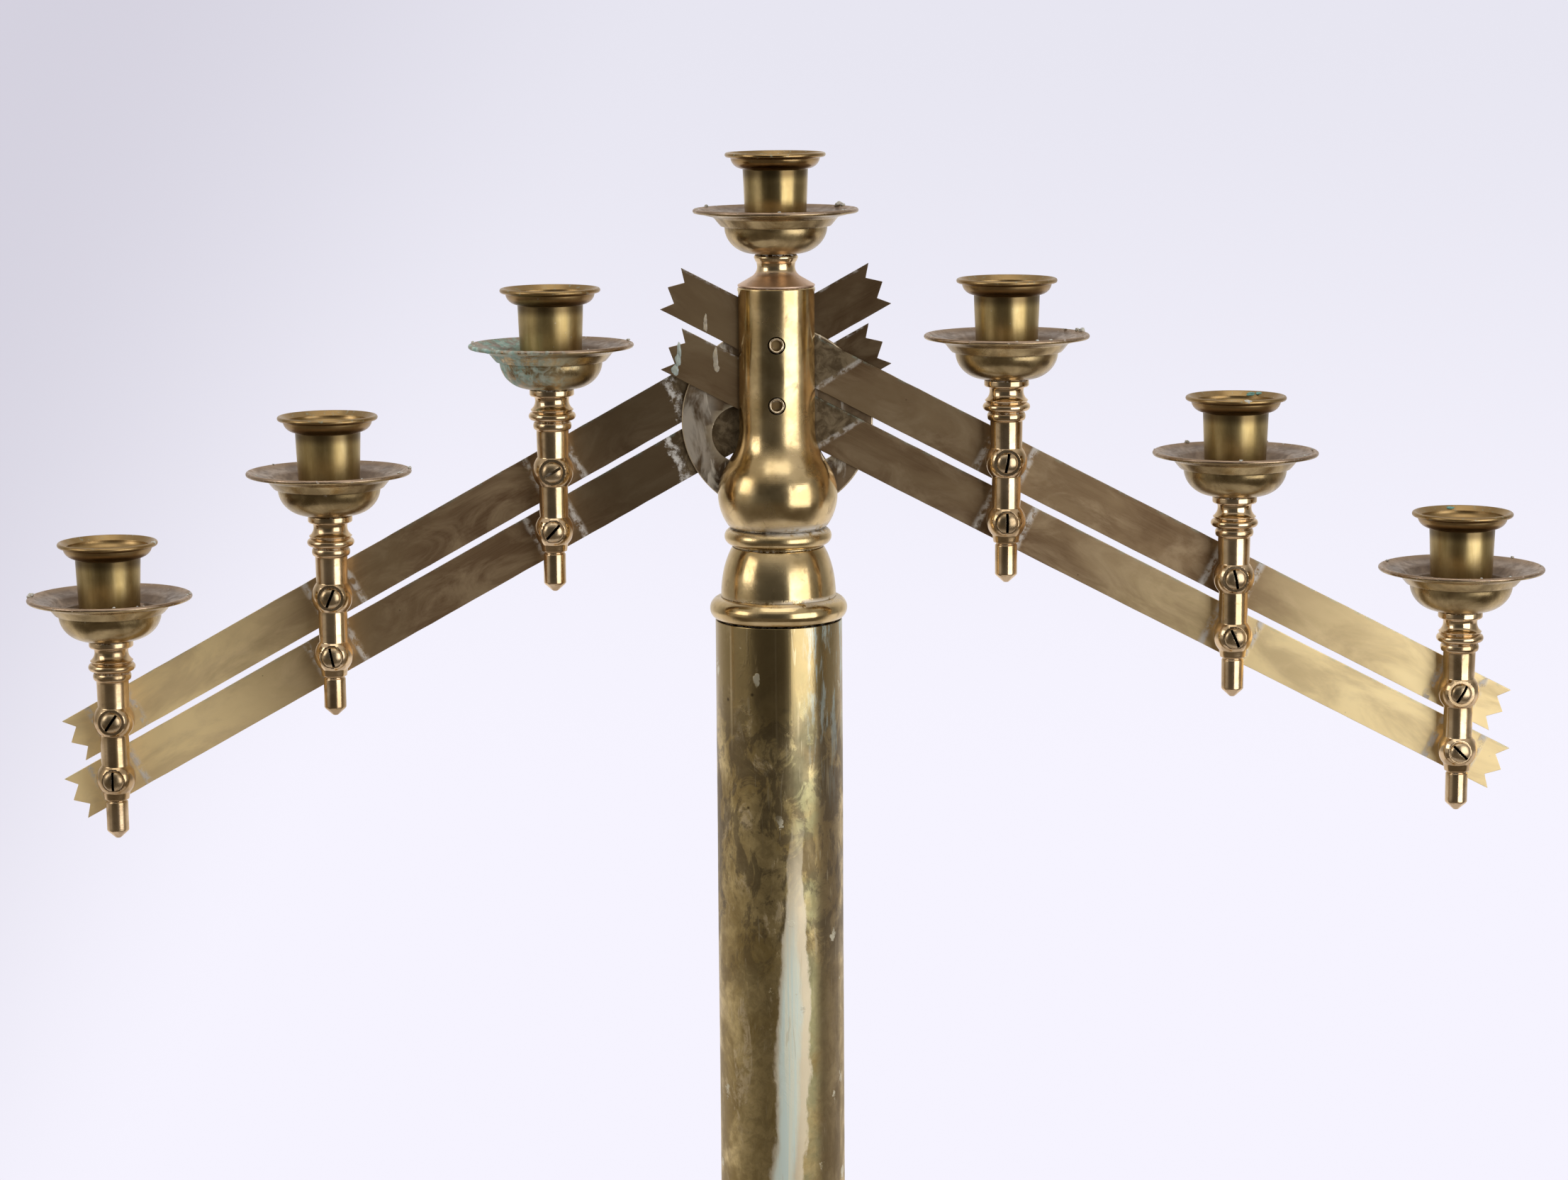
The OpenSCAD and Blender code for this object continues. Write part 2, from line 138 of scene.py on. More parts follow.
class Nodes:
    """A shader tree being built, with short calls for the nodes it uses."""

    def __init__(self, tree, coords, seed=0):
        self.tree = tree
        self.tree.nodes.clear()
        self.coords = self.add("ShaderNodeTexCoord", {}, coords)
        self.seed = seed

    def put(self, socket, value):
        if isinstance(value, bpy.types.NodeSocket):
            self.tree.links.new(value, socket)
        elif socket.type == "RGBA" and len(value) == 3:
            socket.default_value = (*value, 1)
        else:
            socket.default_value = value

    def add(self, kind, inputs, output=0, **settings):
        """Adds a node, and gives one of its outputs."""
        node = self.tree.nodes.new(kind)
        for key, value in settings.items():
            setattr(node, key, value)
        for key, value in inputs.items():
            self.put(node.inputs[key], value)
        return node.outputs[output]

    def show(self, kind, shader):
        """Ends the tree in its output node."""
        self.put(self.tree.nodes.new(kind).inputs["Surface"], shader)

    def moved(self, stretch=(1, 1, 1), shift=(0, 0, 0), turn=(0, 0, 0)):
        place = tuple(s + self.seed for s in shift)
        return self.add("ShaderNodeMapping", {
            "Vector": self.coords, "Location": place, "Rotation": turn,
            "Scale": stretch,
        })

    def noise(self, scale, detail=4, rough=0.55, bend=0.0, **place):
        return self.add("ShaderNodeTexNoise", {
            "Vector": self.moved(**place), "Scale": scale, "Detail": detail,
            "Roughness": rough, "Distortion": bend,
        }, "Fac")

    def cloud(self, low, high, *texture, **place):
        """Patches: noise that rises from 0 at low to 1 at high."""
        return self.level(self.noise(*texture, **place), low, high)

    def stray(self, amount, *texture, **place):
        """Noise round 0, to push an edge out of line."""
        return self.times(self.minus(self.noise(*texture, **place), 0.5), amount)

    def cells(self, scale, **place):
        inputs = {"Vector": self.moved(**place), "Scale": scale}
        return self.add("ShaderNodeTexVoronoi", inputs, "Distance")

    def level(self, value, low, high, to_low=0.0, to_high=1.0):
        """Maps low..high to to_low..to_high smoothly, and holds beyond them."""
        return self.add("ShaderNodeMapRange", {
            "Value": value, "From Min": low, "From Max": high, "To Min": to_low,
            "To Max": to_high,
        }, interpolation_type="SMOOTHSTEP")

    def band(self, value, low, whole, fade, high):
        """1 from whole to fade, and 0 before low and beyond high."""
        return self.times(self.level(value, low, whole), self.level(value, high, fade))

    def math(self, operation, a, b=0.0):
        return self.add("ShaderNodeMath", {0: a, 1: b}, operation=operation)

    def plus(self, a, b):
        return self.math("ADD", a, b)

    def minus(self, a, b):
        return self.math("SUBTRACT", a, b)

    def most(self, a, b):
        return self.math("MAXIMUM", a, b)

    def times(self, first, *others):
        for value in others:
            first = self.math("MULTIPLY", first, value)
        return first

    def mix(self, share, a, b):
        """A colour between a and b."""
        return self.add("ShaderNodeMix", {0: share, 6: a, 7: b}, 2, data_type="RGBA")

    def blend(self, share, a, b):
        """A number between a and b."""
        return self.add("ShaderNodeMix", {0: share, 2: a, 3: b})

    def axis(self, index):
        return self.add("ShaderNodeSeparateXYZ", {0: self.coords}, index)


class Paint(Nodes):
    """A Principled material, whose colour is laid on in coats."""

    def __init__(self, name, seed=0):
        self.material = bpy.data.materials.new(name)
        self.material.use_nodes = True
        super().__init__(self.material.node_tree, "Object", seed)

    def base(self, share, a, b):
        self.colour = self.mix(share, a, b)

    def coat(self, share, tone, amount=None):
        """Covers the colour so far with a tone, where share is 1."""
        if amount is not None:
            share = self.times(share, amount)
        self.colour = self.mix(share, self.colour, tone)

    def attribute(self, name):
        return self.add("ShaderNodeAttribute", {}, "Fac", attribute_name=name)

    def crevice(self, reach, low=0.35, high=0.85):
        """1 in corners narrower than reach, in metres, and 0 in the open."""
        open_air = self.add("ShaderNodeAmbientOcclusion", {"Distance": reach}, "AO",
                            samples=6)
        return self.level(open_air, low, high, 1.0, 0.0)

    def bumps(self, *layers):
        """The normal after layers of (height, depth in metres)."""
        before = {}
        for height, depth in layers:
            inputs = {"Height": height, "Distance": depth, "Strength": 1.0, **before}
            before = {"Normal": self.add("ShaderNodeBump", inputs)}
        return before["Normal"]

    def finish(self, roughness, normal=None, metallic=1.0, more=None):
        inputs = {"Base Color": self.colour, "Roughness": roughness,
                  "Metallic": metallic, **(more or {})}
        if normal is not None:
            inputs["Normal"] = normal
        shader = self.add("ShaderNodeBsdfPrincipled", inputs)
        self.show("ShaderNodeOutputMaterial", shader)
        return self.material


# Dark brown for grime specks, and for painted shade in corners
DIRT_AND_SHADE = (0.055, 0.036, 0.018)
RESIDUE = (0.74, 0.7, 0.62)
VERDIGRIS = (0.34, 0.52, 0.44)


def darker(tone, share):
    return tuple(c * share for c in tone)


def polished_brass(name, light, dark, tarnish=0.35, residue=0.6, matte=0.0,
                   dull=(0.0, 0.5, 0.4), dull_tone=None):
    """Turned brass that is polished often, with pale polish left in its corners.

    dull is the roughness added low on a piece, and the rises where it starts and
    is whole. It has dull_tone for its colour, if there is one.
    """
    p = Paint(name)
    p.base(p.cloud(0.34, 0.66, 70, 5), dark, light)
    rougher, dull_start, dull_whole = dull
    low = p.level(p.attribute("rise"), dull_start, dull_whole)
    if dull_tone:
        p.coat(low, dull_tone)
    stain = p.times(p.cloud(0.52, 0.74, 150, 6, 0.62, 0.6), tarnish)
    p.coat(stain, darker(dark, 0.42))
    corner = p.crevice(0.0018, 0.3, 0.7)
    # Painted shade: corners found by ambient occlusion are darkened
    p.coat(corner, DIRT_AND_SHADE, 0.6)
    crust = p.times(corner, p.cloud(0.5, 0.58, 420, 5, 0.7), residue)
    chalk = p.times(p.attribute("chalk"), p.cloud(0.34, 0.52, 260, 5, 0.7))
    crust = p.most(crust, chalk)
    p.coat(crust, RESIDUE)
    rough = p.level(p.noise(38, 5, 0.6, 0.4), 0.35, 0.7, 0.1 + matte, 0.24 + matte)
    rough = p.plus(rough, p.times(stain, 0.22))
    rough = p.plus(rough, p.times(low, rougher))
    rough = p.blend(crust, rough, 0.85)
    lines = p.noise(1, 3, 0.7, stretch=(14, 14, 2600))
    pits = p.noise(900, 3, 0.6)
    normal = p.bumps((lines, 0.000012), (pits, 0.00001), (crust, 0.00025))
    return p.finish(rough, normal, p.minus(1.0, crust))


def satin_brass(name, matte=0.0):
    """The cups: olive gold, with painted shade under the flare, and warmer below."""
    p = Paint(name)
    rise = p.attribute("rise")
    inside = p.attribute("inside")
    streaks = p.cloud(0.32, 0.68, 230, 5, 0.6, stretch=(1, 1, 0.1))
    clouds = p.cloud(0.35, 0.68, 95, 5, 0.6, 0.5)
    p.base(streaks, (0.38, 0.275, 0.105), (0.52, 0.395, 0.18))
    p.coat(clouds, (0.29, 0.2, 0.08), 0.45)
    p.coat(p.level(rise, 0.42, 0.18), (0.4, 0.235, 0.085), 0.55)
    # Painted shade in a band under the flare
    p.coat(p.band(rise, 0.7, 0.8, 0.84, 0.9), (0.085, 0.052, 0.022), 0.75)
    # Painted shade in corners found by ambient occlusion
    p.coat(p.crevice(0.003), DIRT_AND_SHADE, 0.7)
    # Painted shade with a coppery tone on the outside of the flare, which faces down
    flare = p.times(p.level(rise, 0.82, 0.86), p.minus(1.0, inside))
    p.coat(flare, (0.32, 0.185, 0.075), 0.6)
    rim = p.level(rise, 0.92, 0.99)
    green = p.times(p.cloud(0.6, 0.66, 520, 4, 0.6),
                    p.most(p.times(rim, 0.3), p.times(inside, 0.45)))
    p.coat(green, VERDIGRIS)
    specks = p.times(p.level(p.cells(260), 0.1, 0.05), p.level(clouds, 0.6, 0.8))
    p.coat(specks, (0.62, 0.58, 0.46), 0.6)
    rough = p.level(p.noise(60, 4), 0.3, 0.7, 0.15 + matte, 0.27 + matte)
    rough = p.blend(green, rough, 0.8)
    lines = p.noise(1, 3, 0.7, stretch=(16, 16, 2200))
    scratches = p.noise(1, 2, 0.5, 1.2, stretch=(700, 700, 60))
    normal = p.bumps((lines, 0.000008), (scratches, 0.000012))
    return p.finish(rough, normal, p.minus(1.0, green))


def bronzed_brass(name, upper):
    """The pans: tarnished brown on top, and rubbed brighter underneath."""
    p = Paint(name)
    clouds = p.cloud(0.32, 0.68, 70, 6, 0.62, 0.8)
    fine = p.cloud(0.35, 0.7, 340, 5, 0.65)
    if upper:
        p.base(clouds, (0.2, 0.145, 0.105), (0.4, 0.3, 0.215))
        p.coat(fine, (0.28, 0.225, 0.18), 0.45)
        rough = p.level(fine, 0, 1, 0.3, 0.5)
    else:
        p.base(clouds, (0.26, 0.185, 0.082), (0.58, 0.435, 0.215))
        p.coat(fine, (0.22, 0.145, 0.065), 0.35)
        rough = p.level(p.noise(55, 4), 0.3, 0.7, 0.18, 0.36)
    rim = p.level(p.attribute("rise"), 0.9, 0.99)
    p.coat(rim, (0.52, 0.36, 0.22), 0.5)
    corner = p.crevice(0.0024)
    # Painted shade in corners found by ambient occlusion
    p.coat(corner, DIRT_AND_SHADE, 0.7)
    crumbs = p.times(p.cloud(0.6, 0.66, 460, 5, 0.72), p.most(rim, corner), 0.8)
    p.coat(crumbs, RESIDUE)
    patina = p.times(p.attribute("patina"), p.cloud(0.4, 0.6, 170, 6, 0.7, 0.5))
    p.coat(patina, p.mix(p.cloud(0.4, 0.6, 420, 4), VERDIGRIS, (0.55, 0.68, 0.58)))
    dull = p.most(crumbs, patina)
    rough = p.blend(dull, rough, 0.85)
    normal = p.bumps((p.noise(900, 3, 0.7), 0.00002), (dull, 0.00012))
    return p.finish(rough, normal, p.minus(1.0, dull))


def bar_brass(name, seed, way, tone, polish, bright, edge, chalky, solid):
    """Flat bar brushed along X, with painted shade near the head, paler towards its end.

    tone is how much of the metal's colour the painted shade leaves near the head and
    in mid-arm, and polish is where the bright metal starts and is whole. edge is where
    polishing stopped by the head: its place, its slant, how ragged it is and its half
    width. chalky is how much dried polish it has, and solid how metallic the polished
    end still is; where solid is low, the bright end is a painted reflection.
    """
    p = Paint(name, seed)
    x = p.times(p.axis(0), way)
    z = p.axis(2)
    clouds = p.cloud(0.34, 0.68, 26, 5, 0.6, 0.4, stretch=(0.45, 1, 1))
    p.base(clouds, (0.26, 0.155, 0.078), (0.63, 0.44, 0.235))
    bands = p.cloud(0.42, 0.7, 30, 5, 0.65, 1.2, stretch=(1, 1, 2.2))
    p.coat(bands, (0.78, 0.58, 0.34), 0.6)
    brushed = p.cloud(0.3, 0.7, 1, 4, 0.65, 0.1, stretch=(22, 400, 1900))
    p.coat(brushed, (0.53, 0.385, 0.215), 0.25)
    # Painted shade: the bar is darkened towards black near the head, and a little in mid-arm
    p.base(p.level(x, 0.07, 0.115, *tone), (0.03, 0.016, 0.006), p.colour)
    # The bright end: polished brass, and on the left bars, which are hardly metallic there, a
    # painted reflection
    polished = p.level(x, *polish)
    patchy = p.noise(1, 5, 0.6, 0.6, stretch=(20, 34, 52))
    shine = p.times(polished, p.level(patchy, 0.36, 0.6, 0.58, 1.0))
    p.coat(shine, bright)
    # The line where polishing stopped with the arm raised, slanting across the bar
    place, slope, ragged, half = edge
    slant = p.plus(x, p.times(z, slope))
    slant = p.plus(slant, p.stray(ragged, 260, 4, 0.7))
    before = p.level(slant, place + half, place - half)
    before = p.times(before, p.level(x, 0.002, 0.01))
    cloudy = p.cloud(0.38, 0.62, 190, 6, 0.7, 0.6)
    p.coat(before, p.mix(cloudy, (0.12, 0.084, 0.045), (0.27, 0.205, 0.12)))
    line = p.band(slant, place - 1.1 * half, place - 0.3 * half,
                  place + 0.3 * half, place + 1.1 * half)
    chalk = p.times(line, p.cloud(0.38, 0.6, 330, 5, 0.7), chalky)
    p.coat(chalk, RESIDUE)
    # Painted shade in corners found by ambient occlusion
    p.coat(p.crevice(0.002, 0.45, 0.8), DIRT_AND_SHADE, 0.65)
    # Polish that gathered on both sides of each post, on the front
    gap = LIGHT_GAP * MM
    lap = p.math("MODULO", p.plus(x, gap / 2), gap)
    from_post = p.math("ABSOLUTE", p.minus(lap, gap / 2))
    beside = p.times(
        p.band(from_post, 0.007, 0.0082, 0.009, 0.0112), p.level(x, 0.06, 0.07),
        p.cloud(0.4, 0.58, 300, 5, 0.7), p.level(p.axis(1), 0.0, -0.0004), 0.9,
    )
    p.coat(beside, RESIDUE)
    chalk = p.most(chalk, beside)
    top_edge = p.times(
        p.level(z, 0.008, 0.0091), p.cloud(0.45, 0.62, 210, 4, 0.7),
        p.level(x, -0.01, 0.015, 0.7, 0.25),
    )
    p.coat(top_edge, p.mix(p.level(x, 0.0, 0.02), RESIDUE, VERDIGRIS))
    specks = p.times(p.level(p.cells(150), 0.075, 0.035), p.cloud(0.55, 0.65, 60, 2))
    p.coat(specks, DIRT_AND_SHADE, 0.6)
    rough = p.level(clouds, 0, 1, 0.54, 0.44)
    rough = p.minus(rough, p.times(shine, 0.06))
    rough = p.blend(p.most(chalk, before), rough, 0.62)
    metallic = p.blend(chalk, p.blend(polished, 1.0, solid), 0.1)
    return p.finish(rough, p.bumps((chalk, 0.0001)), metallic)


def plate_brass(name):
    """The round plate: grey brown, with pale streaks rubbed over it and a painted highlight on
    its edges.
    """
    p = Paint(name)
    streaks = p.cloud(0.5, 0.62, 1, 5, 0.6, 0.8, stretch=(120, 90, 30),
                      turn=(0, 0.4, 0))
    rubbed = p.cloud(0.4, 0.56, 1, 5, 0.65, 0.5, stretch=(90, 90, 45),
                     shift=(2, 0, 0))
    rubbed = p.times(p.level(p.axis(0), -0.022, -0.03), rubbed, 0.6)
    streaks = p.most(streaks, rubbed)
    p.base(p.cloud(0.35, 0.65, 80, 5, 0.6), (0.15, 0.098, 0.054),
           (0.32, 0.225, 0.13))
    p.coat(streaks, (1.0, 0.9, 0.72), 0.9)
    # Painted highlight along the rim and the holes' edges
    p.coat(p.attribute("edge"), (0.95, 0.8, 0.54), 0.55)
    rough = p.level(streaks, 0, 1, 0.44, 0.34)
    return p.finish(rough, p.bumps((streaks, 0.00002)), p.blend(streaks, 1.0, 0.5))


def column_brass(name, top):
    """The tube: wiped bright under the collar, then mottled tarnish and smears."""
    p = Paint(name)
    x = p.axis(0)
    below = p.minus(top, p.axis(2))
    front = p.level(p.axis(1), 0.004, -0.004)
    clouds = p.cloud(0.36, 0.64, 1, 6, 0.62, 0.8, stretch=(60, 60, 34))
    p.base(clouds, (0.37, 0.262, 0.098), (0.76, 0.585, 0.27))
    p.coat(p.cloud(0.36, 0.66, 230, 6, 0.68, 0.5), (0.26, 0.182, 0.076), 0.45)
    green = p.times(p.band(x, 0.000, 0.008, 0.012, 0.02),
                    p.cloud(0.38, 0.58, 50, 4))
    p.coat(green, (0.36, 0.37, 0.2), 0.6)
    sand = p.times(
        p.cloud(0.54, 0.62, 1, 6, 0.7, 0.9, stretch=(70, 70, 30), shift=(3, 0, 0)),
        p.cloud(0.35, 0.6, 300, 4, 0.7), p.level(x, 0.006, -0.004, 0.35, 1.0),
    )
    p.coat(sand, (0.72, 0.58, 0.35), 0.75)
    # The right side: tarnish where it is never rubbed, and a painted dark reflection
    p.coat(p.band(x, 0.0125, 0.017, 0.0225, 0.0245), (0.18, 0.125, 0.066), 0.7)
    wiped = p.level(p.plus(below, p.stray(0.05, 60, 4)), 0.06, 0.018)
    p.coat(wiped, (0.36, 0.262, 0.115), 0.85)
    burnt = p.times(
        p.band(below, 0.015, 0.05, 0.11, 0.17),
        p.cloud(0.46, 0.55, 1, 6, 0.72, 0.6, stretch=(95, 95, 60), shift=(1, 6, 2)),
    )
    p.coat(burnt, (0.105, 0.078, 0.05), 0.6)
    # A long smear that starts part of the way down, drifts left and fades out
    faded = p.level(below, 0.52, 0.34)
    smear_x = p.level(below, 0.1, 0.24, 0.0074, 0.0008)
    offset = p.minus(x, p.plus(smear_x, p.stray(0.01, 14, 3)))
    half = p.level(below, 0.075, 0.17, 0.0026, 0.007)
    ragged = p.stray(1.1, 1, 6, 0.75, stretch=(170, 170, 60))
    across = p.math("DIVIDE", p.math("ABSOLUTE", offset), half)
    smear = p.times(p.level(below, 0.07, 0.12), faded, front,
                    p.level(p.plus(across, ragged), 1.08, 0.86))
    p.coat(smear, (0.86, 0.74, 0.52), 0.85)
    inner = p.math("ABSOLUTE", p.plus(offset, 0.0014))
    inner = p.plus(p.math("DIVIDE", inner, half), p.times(ragged, 0.5))
    heart = p.times(p.level(below, 0.1, 0.15), faded, front,
                    p.level(inner, 0.8, 0.35))
    dragged = p.cloud(0.4, 0.6, 1, 4, 0.6, stretch=(700, 700, 12),
                      turn=(0, 0.06, 0))
    milky = p.mix(dragged, (0.72, 0.84, 0.74), (0.87, 0.88, 0.68))
    p.coat(heart, milky, 0.9)
    specks = p.times(p.level(p.cells(120), 0.1, 0.04), p.cloud(0.54, 0.62, 45, 2))
    p.coat(specks, (0.62, 0.55, 0.38), 0.75)
    spots = p.cells(60, shift=(5, 1, 2), stretch=(1.6, 1.6, 0.8))
    flakes = p.times(
        p.level(p.plus(spots, p.stray(0.9, 240, 5, 0.75, 0.5)), 0.15, 0.1),
        p.cloud(0.48, 0.54, 26, 2, shift=(2, 7, 1)),
    )
    p.coat(flakes, (0.78, 0.72, 0.52), 0.8)
    dark = p.times(p.level(p.cells(85, shift=(1, 2, 3)), 0.09, 0.03),
                   p.cloud(0.52, 0.6, 40, 2, shift=(4, 4, 4)))
    p.coat(dark, DIRT_AND_SHADE, 0.8)
    scratches = p.cloud(0.655, 0.7, 1, 2, 0.5, 1.5, stretch=(420, 420, 26))
    p.coat(scratches, (0.62, 0.52, 0.32), 0.35)
    runs = p.times(p.cloud(0.62, 0.68, 1, 2, 0.5, stretch=(330, 330, 3)), wiped)
    p.coat(runs, (0.72, 0.58, 0.34), 0.5)
    mint = p.times(
        p.level(below, 0.085, 0.0), p.level(x, 0.008, 0.017), front,
        p.cloud(0.5, 0.6, 1, 5, 0.7, stretch=(260, 260, 40)),
    )
    p.coat(mint, (0.55, 0.68, 0.64), 0.7)
    # Painted shade in corners found by ambient occlusion
    p.coat(p.crevice(0.0025), DIRT_AND_SHADE, 0.7)
    rough = p.level(clouds, 0, 1, 0.46, 0.33)
    rough = p.plus(rough, p.times(sand, 0.12))
    rough = p.blend(wiped, rough, 0.2)
    rough = p.blend(p.times(smear, 0.8), rough, 0.55)
    lines = p.noise(1, 3, 0.6, stretch=(900, 900, 14))
    normal = p.bumps((lines, 0.00002), (p.most(sand, flakes), 0.00004))
    metallic = p.minus(1.0, p.times(heart, 0.6))
    metallic = p.minus(metallic, p.times(p.most(flakes, mint), 0.3))
    return p.finish(rough, normal, metallic)


def mottled(name, patches, tones, gloss, grain, metallic=1.0, more=None):
    """Two tones in patches, a roughness that varies, and a grain in the surface."""
    p = Paint(name)
    p.base(p.cloud(*patches), *tones)
    scale, detail, smoothest, roughest = gloss
    rough = p.level(p.noise(scale, detail), 0.3, 0.7, smoothest, roughest)
    depth, *texture = grain
    return p.finish(rough, p.bumps((p.noise(*texture), depth)), metallic, more)


def candle_wax(name, tone):
    return mottled(
        name, (0.35, 0.65, 500, 4), (tone, darker(tone, 0.78)), (300, 3, 0.35, 0.55),
        (0.00008, 700, 3), 0.0,
        {"Subsurface Weight": 0.35, "Subsurface Radius": (0.004, 0.003, 0.002),
         "Subsurface Scale": 0.5},
    )


def felt(name):
    p = Paint(name)
    fibres = p.noise(1400, 5, 0.75, 1.0)
    p.base(p.level(fibres, 0.35, 0.65), (0.012, 0.04, 0.02), (0.035, 0.09, 0.05))
    return p.finish(0.95, p.bumps((fibres, 0.0004)), 0.0, {"Sheen Weight": 0.4})


BRASS = polished_brass("polished_brass", (0.8, 0.59, 0.35), (0.54, 0.37, 0.19),
                       tarnish=0.5, residue=0.7)
SCREW_BRASS = polished_brass("screw_brass", (0.62, 0.47, 0.28), (0.4, 0.29, 0.16),
                             tarnish=0.5, matte=0.14)
HEAD_BRASS = polished_brass(
    "head_brass", (0.74, 0.56, 0.29), (0.5, 0.355, 0.16), tarnish=0.55, residue=0.8,
    dull=(0.03, 0.94, 0.78),
)
CAP_BRASS = polished_brass(
    "cap_brass", (0.84, 0.64, 0.38), (0.66, 0.48, 0.26), residue=0.9, matte=0.03,
    dull=(0.22, 0.52, 0.38), dull_tone=(0.78, 0.56, 0.4),
)
PIN_BRASS = polished_brass("pin_brass", (0.95, 0.8, 0.55), (0.84, 0.66, 0.42))
# Painted shade: a dark, rough brass for the hollows in the pins' ends
SHADED_PIT_BRASS = polished_brass("shaded_pit_brass", (0.42, 0.29, 0.13), (0.24, 0.15, 0.06),
                           matte=0.3)
CENTRE_CUP = satin_brass("cup_brass")
CUP = satin_brass("satin_brass", 0.13)
PAN_TOP = bronzed_brass("pan_top", upper=True)
PAN_UNDER = bronzed_brass("pan_under", upper=False)
BARS = {}
for seed, level in enumerate(LEVELS):
    BARS["left", level] = bar_brass(
        f"left_{level}_brass", 3 + seed, -1, tone=(0.3, 0.82), polish=(0.165, 0.295),
        bright=(1.0, 0.77, 0.38), edge=(0.046, 0.1, 0.01, 0.0024), chalky=0.95,
        solid=0.05,
    )
    BARS["right", level] = bar_brass(
        f"right_{level}_brass", 7 + seed, 1, tone=(0.52, 0.74),
        polish=((0.185, 0.3), (0.125, 0.24))[seed], bright=(1.0, 0.79, 0.41),
        edge=(0.0275, -0.6, 0.0012, 0.0015), chalky=0.5, solid=1.0,
    )
PLATE = plate_brass("plate_brass")
COLUMN = column_brass("column_brass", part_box("column_tube")[1].z)
WAX = candle_wax("candle_wax", (0.66, 0.63, 0.53))
TAN_WAX = candle_wax("tan_wax", (0.6, 0.49, 0.33))
GREEN_WAX = candle_wax("green_wax", (0.55, 0.6, 0.5))
CRUST = candle_wax("verdigris_crust", (0.22, 0.46, 0.38))
STEEL = mottled("steel", (0.35, 0.65, 120, 4), ((0.42, 0.42, 0.43), (0.56, 0.56, 0.57)),
                (80, 3, 0.25, 0.42), (0.00002, 700, 3))
IRON = mottled("cast_iron", (0.4, 0.6, 160, 5),
               ((0.018, 0.018, 0.019), (0.045, 0.042, 0.04)), (90, 4, 0.55, 0.8),
               (0.0004, 420, 5, 0.7), 0.4)
FELT = felt("felt")


# ---- Shapes ----


def arc(centre, radii, start, end, steps=12):
    rx, rz = radii if isinstance(radii, tuple) else (radii, radii)
    turns = (radians(start + (end - start) * i / steps) for i in range(steps + 1))
    return [(centre[0] + rx * cos(a), centre[1] + rz * sin(a)) for a in turns]


def soften(points, radius, closed):
    """Rounds the corners of an outline of (r, z) points."""
    straight = radians(16)
    out = []
    for i, point in enumerate(points):
        here = Vector(point)
        if not closed and i in (0, len(points) - 1):
            out.append(here)
            continue
        back = Vector(points[i - 1]) - here
        on = Vector(points[(i + 1) % len(points)]) - here
        if back.length < TINY or on.length < TINY:
            continue
        if pi - back.angle(on) < straight:
            out.append(here)
            continue
        cut = min(radius, 0.45 * back.length, 0.45 * on.length)
        first = here + back.normalized() * cut
        last = here + on.normalized() * cut
        for t in (0, 0.25, 0.5, 0.75, 1):
            out.append(first.lerp(here, t).lerp(here.lerp(last, t), t))
    return out


def densify(points, step, closed):
    """Adds points so that no two neighbours are further apart than step."""
    out = []
    count = len(points) if closed else len(points) - 1
    for i in range(count):
        a, b = points[i], points[(i + 1) % len(points)]
        parts = max(1, ceil((b - a).length / step))
        out += [a.lerp(b, k / parts) for k in range(parts)]
    return out if closed else out + [points[-1]]


def wave(amount, scale, seed):
    """A gentle change of radius round a turned piece, as from handling."""

    def change(x, y, z):
        return amount * noise.noise(Vector((x, y, z)) * scale + Vector((seed, 0, 0)))

    return change


def smooth(mesh):
    mesh.polygons.foreach_set("use_smooth", [True] * len(mesh.polygons))


def to_mesh(bm, name):
    mesh = bpy.data.meshes.new(name)
    bm.to_mesh(mesh)
    bm.free()
    smooth(mesh)
    return mesh


def mark(mesh, name, values):
    """Stores a number for each vertex, for the material to use."""
    mesh.attributes.new(name, "FLOAT", "POINT").data.foreach_set("value", values)


def add_piece(name, mesh, materials):
    for material in materials:
        mesh.materials.append(material)
    return add_object(name, mesh)


def settle(obj, body, nodes):
    """Shades a new piece, and says what it rides on and stands for."""
    obj.data.set_sharp_from_angle(angle=radians(38))
    weighted = obj.modifiers.new("weighted", "WEIGHTED_NORMAL")
    weighted.keep_sharp = True
    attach(obj, body)
    if nodes:
        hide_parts(*nodes)


